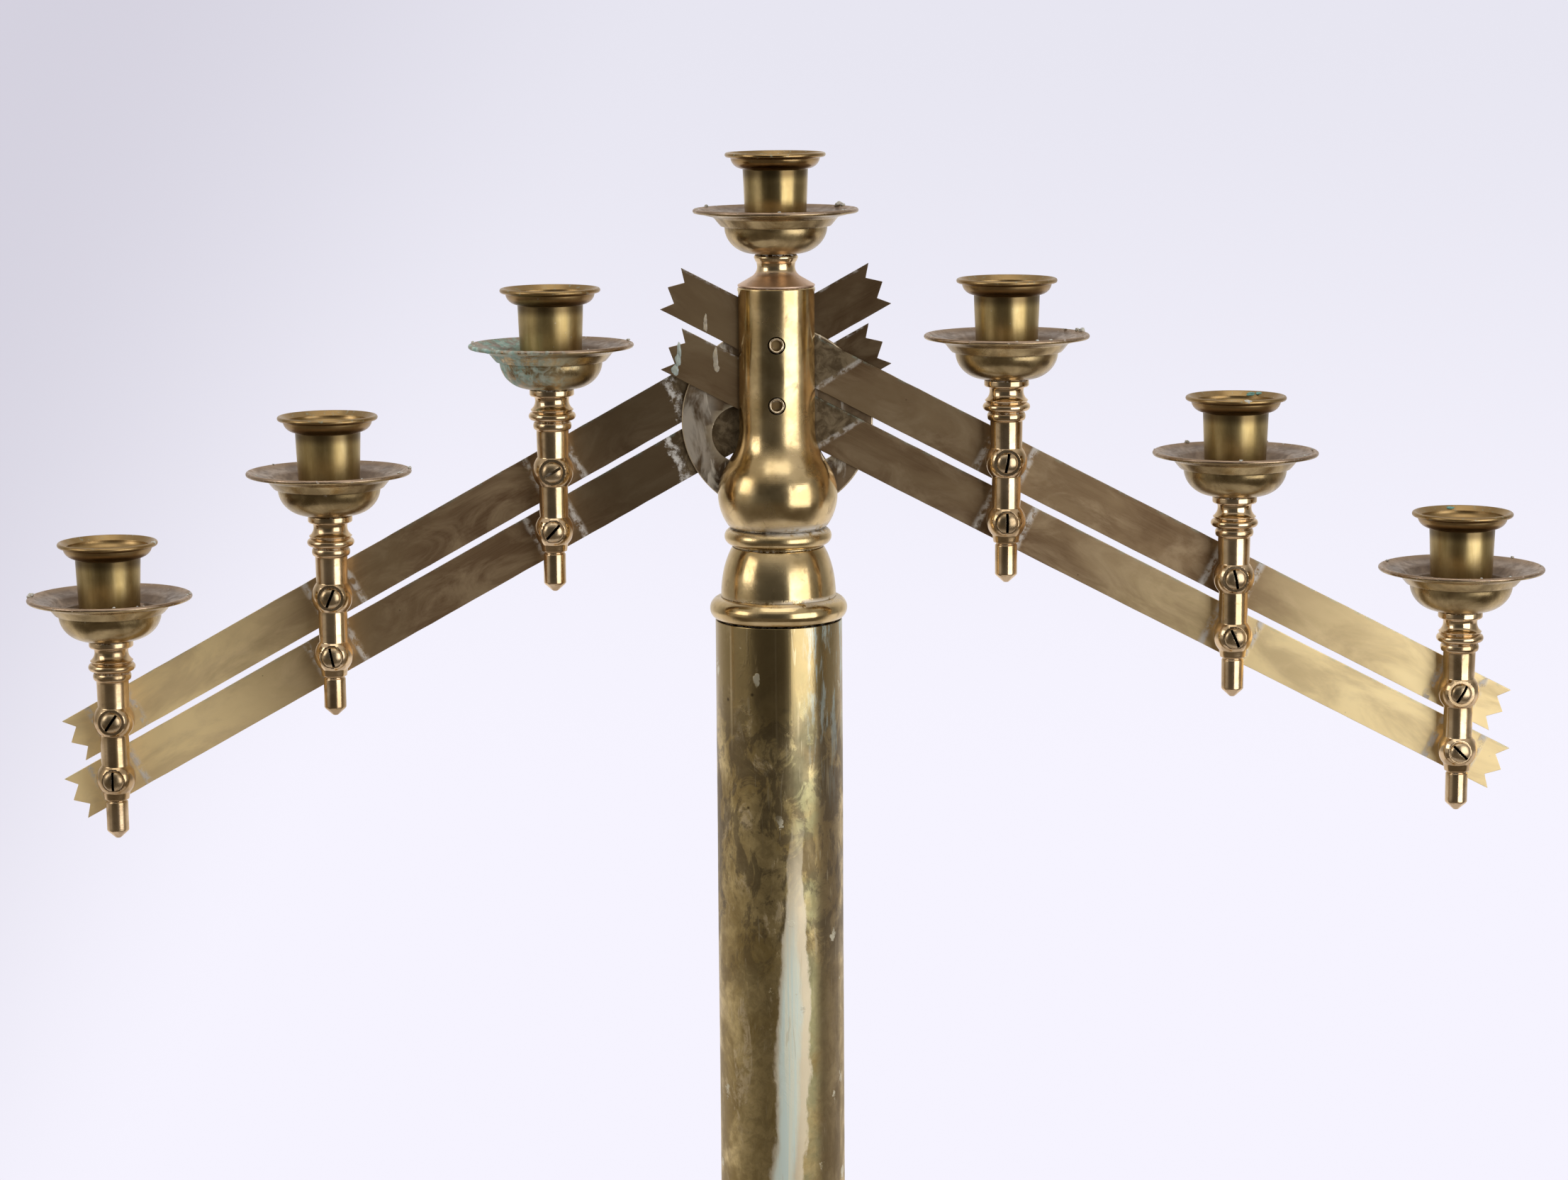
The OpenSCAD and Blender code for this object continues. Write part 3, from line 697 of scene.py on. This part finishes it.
def lathe(name, outline, place, materials, steps=128, step=2.0, radius=0.3,
          change=None, paint=None, turn=None):
    """Spins an outline of (r, z) millimetres into a mesh at a place in metres.

    change alters the radius at a point, and paint gives a face's material index
    from its middle r and the way it runs in r. turn is a matrix for a piece whose
    axis isn't upright.
    """
    closed = min(outline[0][0], outline[-1][0]) > TINY
    points = densify(soften(outline, radius, closed), step, closed)
    matrix = Matrix.Translation(place) @ (turn or Matrix.Identity(4))
    lowest = min(p[1] for p in points)
    span = max(p[1] for p in points) - lowest
    verts, rings, rises = [], [], []
    for r, z in points:
        count = steps if r > TINY else 1
        rings.append(range(len(verts), len(verts) + count))
        rises += [(z - lowest) / span] * count
        for k in range(count):
            a = 2 * pi * k / steps
            x, y = r * cos(a), r * sin(a)
            if change and count > 1:
                grow = 1 + change(x, y, z) / r
                x, y = x * grow, y * grow
            verts.append(matrix @ mm(x, y, z))
    faces, indices = [], []
    for i in range(len(rings) if closed else len(rings) - 1):
        a, b = rings[i], rings[(i + 1) % len(rings)]
        p, q = points[i], points[(i + 1) % len(points)]
        index = paint((p[0] + q[0]) / 2, q[0] - p[0]) if paint else 0
        for k in range(steps):
            n = (k + 1) % steps
            if len(a) == 1:
                faces.append((a[0], b[n], b[k]))
            elif len(b) == 1:
                faces.append((a[k], a[n], b[0]))
            else:
                faces.append((a[k], a[n], b[n], b[k]))
            indices.append(index)
    mesh = bpy.data.meshes.new(name)
    mesh.from_pydata(verts, [], faces)
    mesh.polygons.foreach_set("material_index", indices)
    smooth(mesh)
    mark(mesh, "rise", rises)
    bm = bmesh.new()
    bm.from_mesh(mesh)
    bmesh.ops.recalc_face_normals(bm, faces=bm.faces)
    bm.to_mesh(mesh)
    bm.free()
    return add_piece(name, mesh, materials)


def block(low, high):
    """A throwaway box between two corners in metres, to cut with."""
    bm = bmesh.new()
    bmesh.ops.create_cube(bm, size=1)
    matrix = Matrix.Translation((low + high) / 2) @ Matrix.Diagonal((*(high - low), 1))
    bmesh.ops.transform(bm, matrix=matrix, verts=bm.verts)
    return add_object("cutter", to_mesh(bm, "cutter"))


def rod(centre, radius, length, steps=64):
    """A throwaway cylinder along Y, in metres, to cut with."""
    bm = bmesh.new()
    bmesh.ops.create_cone(bm, cap_ends=True, segments=steps, radius1=radius,
                          radius2=radius, depth=length)
    bmesh.ops.transform(bm, matrix=Matrix.Translation(centre) @ FRONT, verts=bm.verts)
    return add_object("cutter", to_mesh(bm, "cutter"))


def carve(obj, cutters, bevel=0.0, limit=45):
    """Cuts the cutters out of a piece, and may bevel the sharp edges that makes."""
    for cutter in cutters:
        cut = obj.modifiers.new("cut", "BOOLEAN")
        cut.operation = "DIFFERENCE"
        cut.solver = "EXACT"
        cut.object = cutter
    if bevel:
        soft = obj.modifiers.new("bevel", "BEVEL")
        soft.width = bevel
        soft.segments = 2
        soft.limit_method = "ANGLE"
        soft.angle_limit = radians(limit)
    graph = bpy.context.evaluated_depsgraph_get()
    made = bpy.data.meshes.new_from_object(obj.evaluated_get(graph))
    obj.modifiers.clear()
    obj.data = made
    for cutter in cutters:
        bpy.data.objects.remove(cutter)
    smooth(made)


# ---- Turned parts on each light ----


def cup_outline(height=38.9, rim_r=19.85, hole_r=2.9):
    bead_r = 0.95
    bead = (rim_r - bead_r, height - bead_r)
    flare = (bead[0] - 6.5, bead[1] - bead_r)
    neck = height - 6.9
    return [
        (hole_r, 0), (8.4, 0), (8.4, 1.7), (10.95, 2.0), (11.75, 2.9), (12.9, neck),
        *arc(flare, (5.2, 4.6), 276, 356, 14),
        *arc(bead, bead_r, -120, 110, 16),
        *arc(flare, (4.1, 3.5), 360, 285, 12),
        (11.15, neck + 0.55), (11.15, 4.2), (5, 4.2), (5, 1.6), (hole_r, 1.6),
    ]


def pan_outline(height=17.8, rim_r=32.7, sheet=0.8, hole_r=2.9):
    """The underside from the middle out, round the rim bead, and back on top."""
    bead_r = 0.9
    bead = (rim_r - bead_r, height - bead_r)
    bowl = (8.5, 10.8)
    under = [
        (hole_r, 0), *arc(bowl, (11.8, 10.8), 270, 357, 20),
        (20.4, 10.75), (21.7, 10.85), (22.1, 11.3), (23.2, 12.6), (24.3, 14.0),
        (25.0, 14.5), (27.0, 15.0), (29.4, 15.65),
    ]
    top = [
        (29.2, 15.65 + sheet), (26.9, 15.0 + sheet), (24.6, 14.45 + sheet),
        (23.6, 13.9 + sheet), (22.4, 12.6 + sheet), (21.3, 11.4 + sheet),
        (20.1, 11.15 + sheet),
        *arc(bowl, (11.0, 10.0), 357, 270, 20), (hole_r, sheet),
    ]
    return [*under, *arc(bead, bead_r, -150, 130, 16), *top]


def post_outline(top=32.7):
    low = -PIN_GAP
    ball, lower_ball, neck_r = 8.25, 7.8, 4.4
    return [
        (0, low - 24.5), (1.0, low - 24.5), (4.1, low - 21.7), (neck_r, low - 21.2),
        (neck_r, low - 9.6), (4.0, low - 9.2), (4.0, low - 8.8), (5.0, low - 8.4),
        *arc((0, low), lower_ball, -46, 43, 16),
        *arc((0, 0), ball, -46, 41, 16),
        (6.4, 16.2),
        *arc((6.8, 18), (0.8, 1.6), -70, 80, 8),
        (7.0, 19.9),
        *arc((7.7, 21.8), 1.65, -70, 80, 12),
        *arc((10.9, top - 4.8), 4.2, 236, 158, 14),
        (7.5, top - 3.0), (8.5, top - 2.9), (8.8, top - 2.4), (8.8, top - 0.5),
        (8.4, top), (0, top),
    ]


def flatten(obj, centre_y, z_low, z_high):
    """Cuts flats on the front and back of a post's balls."""
    bm = bmesh.new()
    bm.from_mesh(obj.data)
    for side in (-1, 1):
        faces = {f for v in bm.verts if z_low < v.co.z < z_high for f in v.link_faces}
        edges = {e for f in faces for e in f.edges}
        verts = {v for f in faces for v in f.verts}
        bmesh.ops.bisect_plane(
            bm, geom=[*verts, *edges, *faces], dist=1e-7, clear_outer=True,
            plane_co=(0, centre_y + side * BALL_FLAT * MM, 0), plane_no=(0, side, 0),
        )
        rim = [e for e in bm.edges if e.is_boundary]
        bmesh.ops.holes_fill(bm, edges=rim, sides=0)
    bm.to_mesh(obj.data)
    bm.free()


def screw_outline(head_r=4.1, head_h=2.3):
    return [(0, -0.5), (head_r - 0.15, -0.5), (head_r, 0.1),
            *arc((0, head_h * 0.2), (head_r, head_h * 0.8), 4, 90, 14)[:-1],
            (0, head_h)]


# The way the slots of each light's upper and lower screw point, in degrees
SCREW_SLOTS = {
    "left": ((30, 48), (67, 102), (55, 90)),
    "right": ((80, 90), (102, 114), (60, 135)),
}


def screw_pair(name, place, angles, body):
    """The two slotted heads on the front of a post, as one piece."""
    half_slot, slot_floor = 0.55, 1.0
    bm = bmesh.new()
    for level, angle in enumerate(angles):
        at = place + mm(0, -BALL_FLAT, -level * PIN_GAP)
        head = lathe(f"{name}_{level}", screw_outline(), at, [SCREW_BRASS], 48, 0.6,
                     0.2, turn=FRONT)
        cutter = block(mm(-5, -3, -half_slot), mm(5, -slot_floor, half_slot))
        cutter.matrix_world = (Matrix.Translation(at)
                               @ Matrix.Rotation(-radians(angle), 4, "Y"))
        bpy.context.view_layer.update()
        carve(head, [cutter], bevel=0.12 * MM, limit=50)
        bm.from_mesh(head.data)
        bpy.data.objects.remove(head)
    heads = add_piece(name, to_mesh(bm, name), [SCREW_BRASS])
    settle(heads, body, [])


def light(name, body, seed, patina=0.0):
    """The pan and cup of one light, which all seven have."""
    pan_at = foot(f"{name}_pan")
    pan = lathe(
        f"{name}_drip_pan", pan_outline(), pan_at, [PAN_UNDER, PAN_TOP], 144, 1.6,
        0.22, wave(0.25, 0.045, seed), paint=lambda r, run: 1 if run < 0 else 0,
    )
    # Verdigris grows on the left of the pan
    shares = (0.45 + (pan_at.x - v.co.x) / (30 * MM) for v in pan.data.vertices)
    mark(pan.data, "patina", [patina * min(1, max(0, s)) for s in shares])
    settle(pan, body, [f"{name}_pan"])
    cup_at = foot(f"{name}_cup")
    brass = CENTRE_CUP if name == "centre" else CUP
    cup = lathe(f"{name}_candle_cup", cup_outline(), cup_at, [brass], 128, 1.2, 0.3,
                wave(0.1, 0.06, seed + 9))
    bore_r = 11.4 * MM
    mark(cup.data, "inside", [1.0 if (v.co.xy - cup_at.xy).length < bore_r else 0.0
                              for v in cup.data.vertices])
    settle(cup, body, [f"{name}_cup"])


light("centre", "stand", 1)
for side in SIDES:
    for rank, label in enumerate(RANKS):
        name = f"{side}_{label}"
        body = f"{name}_light"
        seed = 10 * rank + (3 if side == "left" else 40)
        light(name, body, seed, 1.0 if name == "left_inner" else 0.0)
        post_at = JOINTS[f"{name}_light_level"].copy()
        post_at.y = middle(f"{name}_post").y
        post = lathe(f"{name}_turned_post", post_outline(), post_at, [BRASS], 96, 1.0,
                     0.25, wave(0.05, 0.1, seed + 4))
        flatten(post, post_at.y, post_at.z - (PIN_GAP + 8.3) * MM,
                post_at.z + 8.6 * MM)
        settle(post, body, [f"{name}_post"])
        screw_pair(f"{name}_screw_heads", post_at, SCREW_SLOTS[side][rank], body)


# ---- Head, dome and column ----


def head_outline():
    bulb_z, bulb_arc, flare_top = -60.2, 21.4, -34
    bulb_centre = (BULB_R - bulb_arc, bulb_z)
    rise = flare_top - bulb_z
    offset = HEAD_R - bulb_centre[0]
    flare = (bulb_arc ** 2 - offset ** 2 - rise ** 2) / (2 * (offset - bulb_arc))
    join = degrees(asin(rise / (bulb_arc + flare)))
    end = degrees(asin((HEAD_FOOT - bulb_z) / bulb_arc))
    return [
        (0, HEAD_TOP), (HEAD_R - 0.5, HEAD_TOP), (HEAD_R, HEAD_TOP - 0.5),
        *arc((HEAD_R + flare, flare_top), flare, 180, 180 + join, 18),
        *arc(bulb_centre, bulb_arc, join, end, 30),
        (14, HEAD_FOOT), (14, -99), (0, -99),
    ]


def cap_outline():
    low, top, neck = HEAD_TOP, 35.1, 7.5
    return [
        (2.9, low), (15.1, low),
        *arc((14.8, low + 0.5), 0.5, -50, 70, 8),
        *arc((neck + 4.5, low + 7.9), 4.5, 238, 170, 14),
        (neck + 0.2, top - 3.5), (8.1, top - 3),
        *arc((7.5, top - 1.4), 1.2, -20, 60, 8),
        (7.9, top), (2.9, top),
    ]


def ring_outline():
    bead = (18, (RING_FOOT + HEAD_FOOT) / 2)
    return [(STACK_BORE_R, RING_FOOT), (18, RING_FOOT), *arc(bead, 3.4, -90, 90, 20),
            (18, HEAD_FOOT), (STACK_BORE_R, HEAD_FOOT)]


def dome_outline():
    sweep, reach, sheet = 51, 12.7, 1.5
    rise = (RING_FOOT - DOME_FOOT) / sin(radians(sweep))
    centre = (23 - reach, DOME_FOOT)
    outer = arc(centre, (reach, rise), 0, sweep, 24)
    inner = arc(centre, (reach - sheet, rise - sheet), sweep, 0, 24)
    return [*outer, (STACK_BORE_R, RING_FOOT), (STACK_BORE_R, RING_FOOT - sheet),
            *inner]


def collar_outline():
    bead = (22.8, (COLLAR_FOOT + DOME_FOOT) / 2)
    low = COLLAR_FOOT - 8
    return [(14.2, low), (23.7, low), (23.7, COLLAR_FOOT), *arc(bead, 4.7, -86, 86, 22),
            (14.2, DOME_FOOT)]


def dust(obj, height, reach, amount):
    """Marks a line of dried polish just above a height, thicker on the right."""
    values = []
    for v in obj.data.vertices:
        rise = (v.co.z - PIN.z) / MM - height
        near = max(0, 1 - abs(rise - 0.3) / reach)
        values.append(near * amount * min(1, max(0.25, 0.6 + v.co.x / (20 * MM))))
    mark(obj.data, "chalk", values)


head = lathe("slotted_head", head_outline(), PIN, [HEAD_BRASS], 160, 1.6, 0.3,
             wave(0.05, 0.05, 5))
channel = block(PIN + mm(-30, -SLOT_W / 2, SLOT_BOTTOM),
                PIN + mm(30, SLOT_W / 2, SLOT_TOP))
bores = [rod(place, 3.5 * MM, 40 * MM) for place in PINS]
carve(head, [channel, *bores])
dust(head, HEAD_FOOT, 2.2, 1.0)
settle(head, "stand", ["pivot_head"])

# Each piece's outline, the node it replaces, and its chalk line if it has one
STACK = (
    ("turned_cap", cap_outline(), "head_cap", None),
    ("bead_ring", ring_outline(), "neck_ring", (-74.5, 1.4, 1.0)),
    ("spun_dome", dome_outline(), "column_dome", (DOME_FOOT, 1.6, 0.7)),
    ("collar_ring", collar_outline(), "column_collar", (DOME_FOOT - 0.5, 1.2, 0.5)),
)
for seed, (name, outline, node, chalk) in enumerate(STACK, 21):
    brass = CAP_BRASS if node == "head_cap" else HEAD_BRASS
    piece = lathe(name, outline, PIN, [brass], 144, 1.4, 0.3, wave(0.06, 0.06, seed))
    if chalk:
        dust(piece, *chalk)
    settle(piece, "stand", [node])


def pin_outline():
    """A pin with a hollow in both ends, just inside the head's surface."""
    end, hollow_r = HEAD_R - 0.15, 2.1
    rim = [(0, end - 2.2), (hollow_r, end - 2.2), (hollow_r + 0.05, end - 0.3),
           (2.5, end), (2.8, end), (3.1, end - 0.4)]
    return rim + [(r, -y) for r, y in rim[::-1]]


# Each pin's hollows take the dark brass as painted shade
for level, place in enumerate(PINS):
    pin = lathe(f"hollow_pin_{level}", pin_outline(), place, [PIN_BRASS, SHADED_PIT_BRASS],
                64, 2, 0.1, turn=FRONT, paint=lambda r, run: 1 if r < 2.14 else 0)
    settle(pin, "stand", [f"{LEVELS[level]}_pivot_pin"])

plate_at = middle("spacer_plate")
plate = lathe("round_plate", [(0, PLATE_T / 2), (PLATE_R, PLATE_T / 2),
                              (PLATE_R, -PLATE_T / 2), (0, -PLATE_T / 2)],
              plate_at, [PLATE], 160, 4, 0.7, turn=FRONT)
holes = [PIN + mm(sign * PLATE_HOLE_X, 0, PLATE_HOLE_Z) for sign in (-1, 1)]
carve(plate, [rod(hole, PLATE_HOLE_R * MM, 10 * MM, 96) for hole in holes],
      bevel=0.5 * MM, limit=60)
# Marks the rim and the holes' edges for the plate's painted highlight
circles = [(plate_at.xz, PLATE_R), *((hole.xz, PLATE_HOLE_R) for hole in holes)]
gaps = [min(abs((v.co.xz - centre).length - r * MM) for centre, r in circles)
        for v in plate.data.vertices]
mark(plate.data, "edge", [1.0 if gap < 0.55 * MM else 0.0 for gap in gaps])
settle(plate, "stand", ["spacer_plate"])

tube_low, tube_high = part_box("column_tube")
tube_h = (tube_high.z - tube_low.z) / MM
tube_bore = COLUMN_R - COLUMN_WALL
tube = lathe("column_body", [(COLUMN_R, 0), (COLUMN_R, tube_h), (tube_bore, tube_h),
                             (tube_bore, 0)],
             foot("column_tube"), [COLUMN], 144, 12, 0.35, wave(0.08, 0.02, 31))
settle(tube, "stand", ["column_tube"])


# ---- Arms ----


def bar_end(x, way):
    half = BAR_H / 2
    return [(x, -half), (x - way * NOTCH_DEPTH, -half / 2), (x + way * TOOTH_PROUD, 0),
            (x - way * NOTCH_DEPTH, half / 2), (x, half)]


def bar_outline(seed):
    """A saw-ended bar from its head pin, with long edges that aren't quite true."""
    end = 3 * LIGHT_GAP + BAR_OVERHANG
    corners = bar_end(end, 1) + bar_end(-BAR_TAIL, -1)[::-1]
    dice = random.Random(seed)
    points = []
    for a, b in zip(corners, corners[1:] + corners[:1]):
        parts = 60 if abs(b[0] - a[0]) > end else 1
        for k in range(parts):
            t = k / parts
            nick = dice.gauss(0, 0.035) if k else 0
            points.append((a[0] + (b[0] - a[0]) * t, a[1] + (b[1] - a[1]) * t + nick))
    return points


def flat_bar(name, pivot, sign, drop, brass, body, node):
    """A bar, drawn along its own X so that the brushing follows it."""
    bm = bmesh.new()
    ring = [bm.verts.new((x * MM, -BAR_T / 2 * MM, z * MM))
            for x, z in bar_outline(5 + sign)]
    face = bm.faces.new(ring)
    raised = bmesh.ops.extrude_face_region(bm, geom=[face])
    top = [g for g in raised["geom"] if isinstance(g, bmesh.types.BMVert)]
    bmesh.ops.translate(bm, vec=(0, BAR_T * MM, 0), verts=top)
    bmesh.ops.recalc_face_normals(bm, faces=bm.faces)
    sharp = [e for e in bm.edges if e.calc_face_angle(0) > radians(60)]
    bmesh.ops.bevel(bm, geom=sharp, offset=0.18 * MM, segments=2, affect="EDGES",
                    profile=0.5)
    if sign < 0:
        for v in bm.verts:
            v.co.x = -v.co.x
        bmesh.ops.reverse_faces(bm, faces=bm.faces)
    bar = add_piece(name, to_mesh(bm, name), [brass])
    bar.matrix_world = Matrix.Translation(pivot) @ Matrix.Rotation(sign * drop, 4, "Y")
    settle(bar, body, [node])


for side, sign in SIDES.items():
    start = JOINTS[f"{side}_arm_raise"]
    out = JOINTS[f"{side}_outer_light_level"]
    drop = atan2(start.z - out.z, abs(out.x - start.x))
    for rank, level in enumerate(LEVELS):
        pivot = start - mm(0, 0, rank * PIN_GAP)
        flat_bar(f"{side}_{level}_flat_bar", pivot, sign, drop, BARS[side, level],
                 f"{side}_{level}_arm", f"{side}_{level}_bar")


# ---- Wax and crumbs ----


def wax(name, lumps, material, body):
    """One piece made of lumps given as (place in metres, half sizes in mm)."""
    bm = bmesh.new()
    for seed, (place, size) in enumerate(lumps, len(name)):
        offset = Vector((seed * 7.31, seed * 1.7, 0))
        size = Vector(size) * MM
        ball = bmesh.ops.create_icosphere(bm, subdivisions=3, radius=1)
        for v in ball["verts"]:
            lump = 1 + 0.45 * noise.noise(v.co * 1.3 + offset)
            v.co = place + Vector(v.co[i] * size[i] * lump for i in range(3))
    settle(add_piece(name, to_mesh(bm, name), [material]), body, [])


def round_place(node, angle, radius, lift):
    """A place in metres round a node's axis, lift millimetres above its top."""
    place = middle(node)
    place.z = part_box(node)[1].z
    a = radians(angle)
    return place + mm(radius * cos(a), radius * sin(a), lift)


def rim_lumps(name, seed, large):
    """A few random crumbs on a pan's rim, and larger ones at set angles."""
    dice = random.Random(seed)
    pan = f"{name}_pan"
    lumps = []
    for _ in range(6):
        size = dice.uniform(0.3, 0.65)
        place = round_place(pan, dice.uniform(0, 360), dice.uniform(30.2, 32.2), 0.0)
        lumps.append((place, (size, size, size * 0.6)))
    for angle, size in large:
        place = round_place(pan, angle, 31.9, 0.2)
        lumps.append((place, (size, size * 0.8, size * 0.75)))
    return lumps


# Degrees round each pan, and size in millimetres
LARGE_LUMPS = {
    "centre": ((38, 1.5), (33, 0.9), (150, 0.8)),
    "left_outer": ((176, 1.1), (184, 0.8), (5, 0.7)),
    "left_middle": ((8, 0.8),),
    "left_inner": ((20, 0.7), (170, 0.6)),
    "right_inner": ((18, 1.3), (25, 0.9), (70, 0.8)),
    "right_middle": ((120, 1.0), (60, 0.7)),
    "right_outer": ((95, 1.2), (40, 0.7)),
}
for seed, (name, large) in enumerate(LARGE_LUMPS.items()):
    body = "stand" if name == "centre" else f"{name}_light"
    wax(f"{name}_pan_wax", rim_lumps(name, seed, large), WAX, body)

# Flat runs on the front of the right bars' tails: x and z from the head's upper
# pin, width and height, in millimetres
DRIPS = (
    ("upper_tail_drip", "upper", TAN_WAX,
     ((-28.0, 9.3, 1.2, 4.5), (-28.1, 7.0, 1.7, 4.6))),
    ("lower_tail_drip", "lower", TAN_WAX,
     ((-24.2, -5.0, 1.8, 6.6), (-24.1, -7.4, 2.1, 5.6), (-23.9, -9.8, 2.0, 3.2))),
    ("tail_end_drip", "lower", GREEN_WAX,
     ((-38.6, -2.6, 1.6, 6.4), (-39.2, -6.4, 2.2, 6.0), (-40.2, -10.4, 2.8, 4.2))),
)
for name, level, material, runs in DRIPS:
    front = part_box(f"right_{level}_bar")[0].y
    lumps = [(PIN + Vector((x * MM, front, z * MM)), (width / 2, 0.28, height / 2))
             for x, z, width, height in runs]
    wax(name, lumps, material, f"right_{level}_arm")

# Degrees round a cup, radius, depth below its top, and half sizes in millimetres
CUP_MARKS = (
    ("left_outer", "nick", WAX, ((-8, 19.0, 0.4, (1.0, 0.9, 0.8)),
                                 (-18, 19.2, 1.2, (0.6, 0.6, 0.7)))),
    ("right_middle", "nick", WAX, ((-84, 19.3, 0.6, (1.7, 0.5, 0.9)),)),
    ("right_middle", "crust", CRUST, ((62, 17.6, 1.2, (2.2, 1.2, 0.8)),
                                      (52, 18.0, 0.9, (1.4, 0.9, 0.6)))),
    ("right_outer", "crust", CRUST, ((96, 17.8, 1.0, (1.8, 0.9, 0.6)),)),
)
for name, kind, material, marks in CUP_MARKS:
    lumps = [(round_place(f"{name}_cup", angle, radius, -depth), size)
             for angle, radius, depth, size in marks]
    wax(f"{name}_cup_{kind}", lumps, material, f"{name}_light")


# ---- Base ----


def base_outline(height=BASE_H, radius=BASE_R, pad=3.0, sheet=1.5):
    outer = [
        (radius - 1.5, pad),
        *arc((radius - 5, pad + 6), 5, -35, 90, 14),
        *arc((radius - 8, pad + 20), 7, 270, 180, 14),
        *arc((radius - 19, pad + 21), 4, 0, 90, 10),
        *arc((radius - 19, height - 8), (radius - 76, height - pad - 34), 270, 212, 24),
        *arc((61, height - 35), 5, -30, 110, 14),
        *arc((57, height), (26, 29), 265, 180, 20),
    ]
    inner = []
    for i, p in enumerate(outer):
        a = Vector(outer[max(0, i - 1)])
        b = Vector(outer[min(len(outer) - 1, i + 1)])
        d = (b - a).normalized()
        inner.append((p[0] - d.y * sheet, p[1] + d.x * sheet))
    return outer + inner[::-1]


def base_collar_outline(low=BASE_H, tall=18.0):
    top = low + tall
    return [
        (4.5, low - 10), (29.2, low - 10), (29.2, low),
        *arc((26, low + 7), 6, -80, 80, 16),
        (29, low + 14.5), (28, top), (25.45, top), (25.45, top - 8), (4.5, top - 8),
    ]


ORIGIN = Vector()
shell = lathe("base_spinning", base_outline(), ORIGIN, [HEAD_BRASS], 192, 3, 0.3,
              wave(0.15, 0.02, 51))
settle(shell, "stand", ["base_shell"])
collar = lathe("base_collar_ring", base_collar_outline(), ORIGIN, [HEAD_BRASS], 144, 2,
               0.3)
settle(collar, "stand", ["base_collar"])


# ---- CAD nodes that stay, and those hidden behind the new pieces ----

ENDINGS = {
    "base_pad": FELT, "base_weight": IRON, "cup_screw": STEEL, "tie_rod": STEEL,
    "tie_rod_nut": STEEL, "tie_rod_washer": STEEL, "pivot_nuts": BRASS,
    "pivot_screws": BRASS,
}
for node, obj in frame["nodes"].items():
    kinds = [material for ending, material in ENDINGS.items() if node.endswith(ending)]
    obj.data.materials.clear()
    obj.data.materials.append((kinds or [HEAD_BRASS])[0])
    obj.data.set_sharp_from_angle(angle=radians(30))


# ---- Floor, light and air ----


def add_floor():
    bm = bmesh.new()
    bmesh.ops.create_circle(bm, cap_ends=True, segments=96, radius=1.15)
    paper = Paint("floor_paper")
    paper.base(paper.cloud(0.3, 0.7, 3, 3), (0.86, 0.85, 0.9), (0.9, 0.89, 0.93))
    material = paper.finish(0.9, metallic=0.0)
    floor = add_piece("floor", to_mesh(bm, "floor"), [material])
    floor.location.z = -0.5 * MM


def area_light(name, azimuth, height, distance, size, glow, tint=(1, 1, 1)):
    """A soft box that faces the head. Azimuth 0 is at the front, positive right."""
    a = radians(azimuth)
    data = bpy.data.lights.new(name, "AREA")
    data.shape = "RECTANGLE"
    data.size, data.size_y = size
    data.energy = glow * pi * size[0] * size[1]
    data.color = tint
    lamp = add_object(name, data)
    lamp.location = sin(a) * distance, -cos(a) * distance, height
    lamp.rotation_mode = "QUATERNION"
    lamp.rotation_quaternion = (PIN - lamp.location).to_track_quat("-Z", "Y")


# What the metal reflects: azimuth from the front, positive to the right, and radiance
SURROUNDINGS = (
    (-180, 0.88), (-150, 0.78), (-132, 0.58), (-108, 0.3), (-92, 0.44), (-62, 0.44),
    (-44, 0.1), (-24, 0.07), (10, 0.08), (18, 0.12), (26, 0.45), (70, 0.45),
    (82, 0.22), (112, 0.26), (132, 0.58), (150, 0.78), (180, 0.88),
)


def add_world():
    """A pale gradient for the camera, and dark and light walls for the metal."""
    world = bpy.data.worlds.new("studio")
    world.use_nodes = True
    sky = Nodes(world.node_tree, "Generated")
    x, y, z = (sky.axis(i) for i in range(3))
    azimuth = sky.math("ARCTAN2", x, sky.times(y, -1.0))
    walls = sky.tree.nodes.new("ShaderNodeValToRGB")
    sky.put(walls.inputs[0], sky.plus(sky.times(azimuth, 0.5 / pi), 0.5))
    elements = walls.color_ramp.elements
    while len(elements) < len(SURROUNDINGS):
        elements.new(0.5)
    for element, (angle, glow) in zip(elements, SURROUNDINGS):
        element.position = angle / 360 + 0.5
        element.color = (glow, glow * 0.96, glow * 0.93, 1)
    below = sky.mix(sky.level(y, -0.2, 0.3), (0.13, 0.11, 0.09), (0.88, 0.85, 0.88))
    around = sky.mix(sky.level(z, -0.34, -0.12), below, walls.outputs[0])
    around = sky.mix(sky.level(z, 0.35, 0.75), around, (0.58, 0.56, 0.56))
    seen = sky.mix(sky.level(z, -0.22, 0.01), (0.922, 0.902, 1.0),
                   (0.8, 0.79, 0.88))
    corner = sky.level(sky.minus(sky.times(z, 0.5), x), 0.02, 0.21)
    seen = sky.mix(corner, seen, (0.665, 0.645, 0.735))
    straight = sky.add("ShaderNodeLightPath", {}, "Is Camera Ray")
    glow = sky.mix(straight, around, seen)
    sky.show("ShaderNodeOutputWorld", sky.add("ShaderNodeBackground", {"Color": glow}))
    bpy.context.scene.world = world


add_floor()
add_world()
area_light("window_right", 44, PIN.z - 0.04, 1.2, (0.94, 0.92), 2.55,
           (0.96, 0.98, 1.06))
area_light("window_left", -66, PIN.z + 0.31, 1.15, (0.52, 0.56), 2.5, (1, 0.98, 1.0))
area_light("ceiling", 0, PIN.z + 1.9, 0.6, (1.6, 1.6), 1.0)
bpy.context.scene.view_settings.view_transform = "Standard"
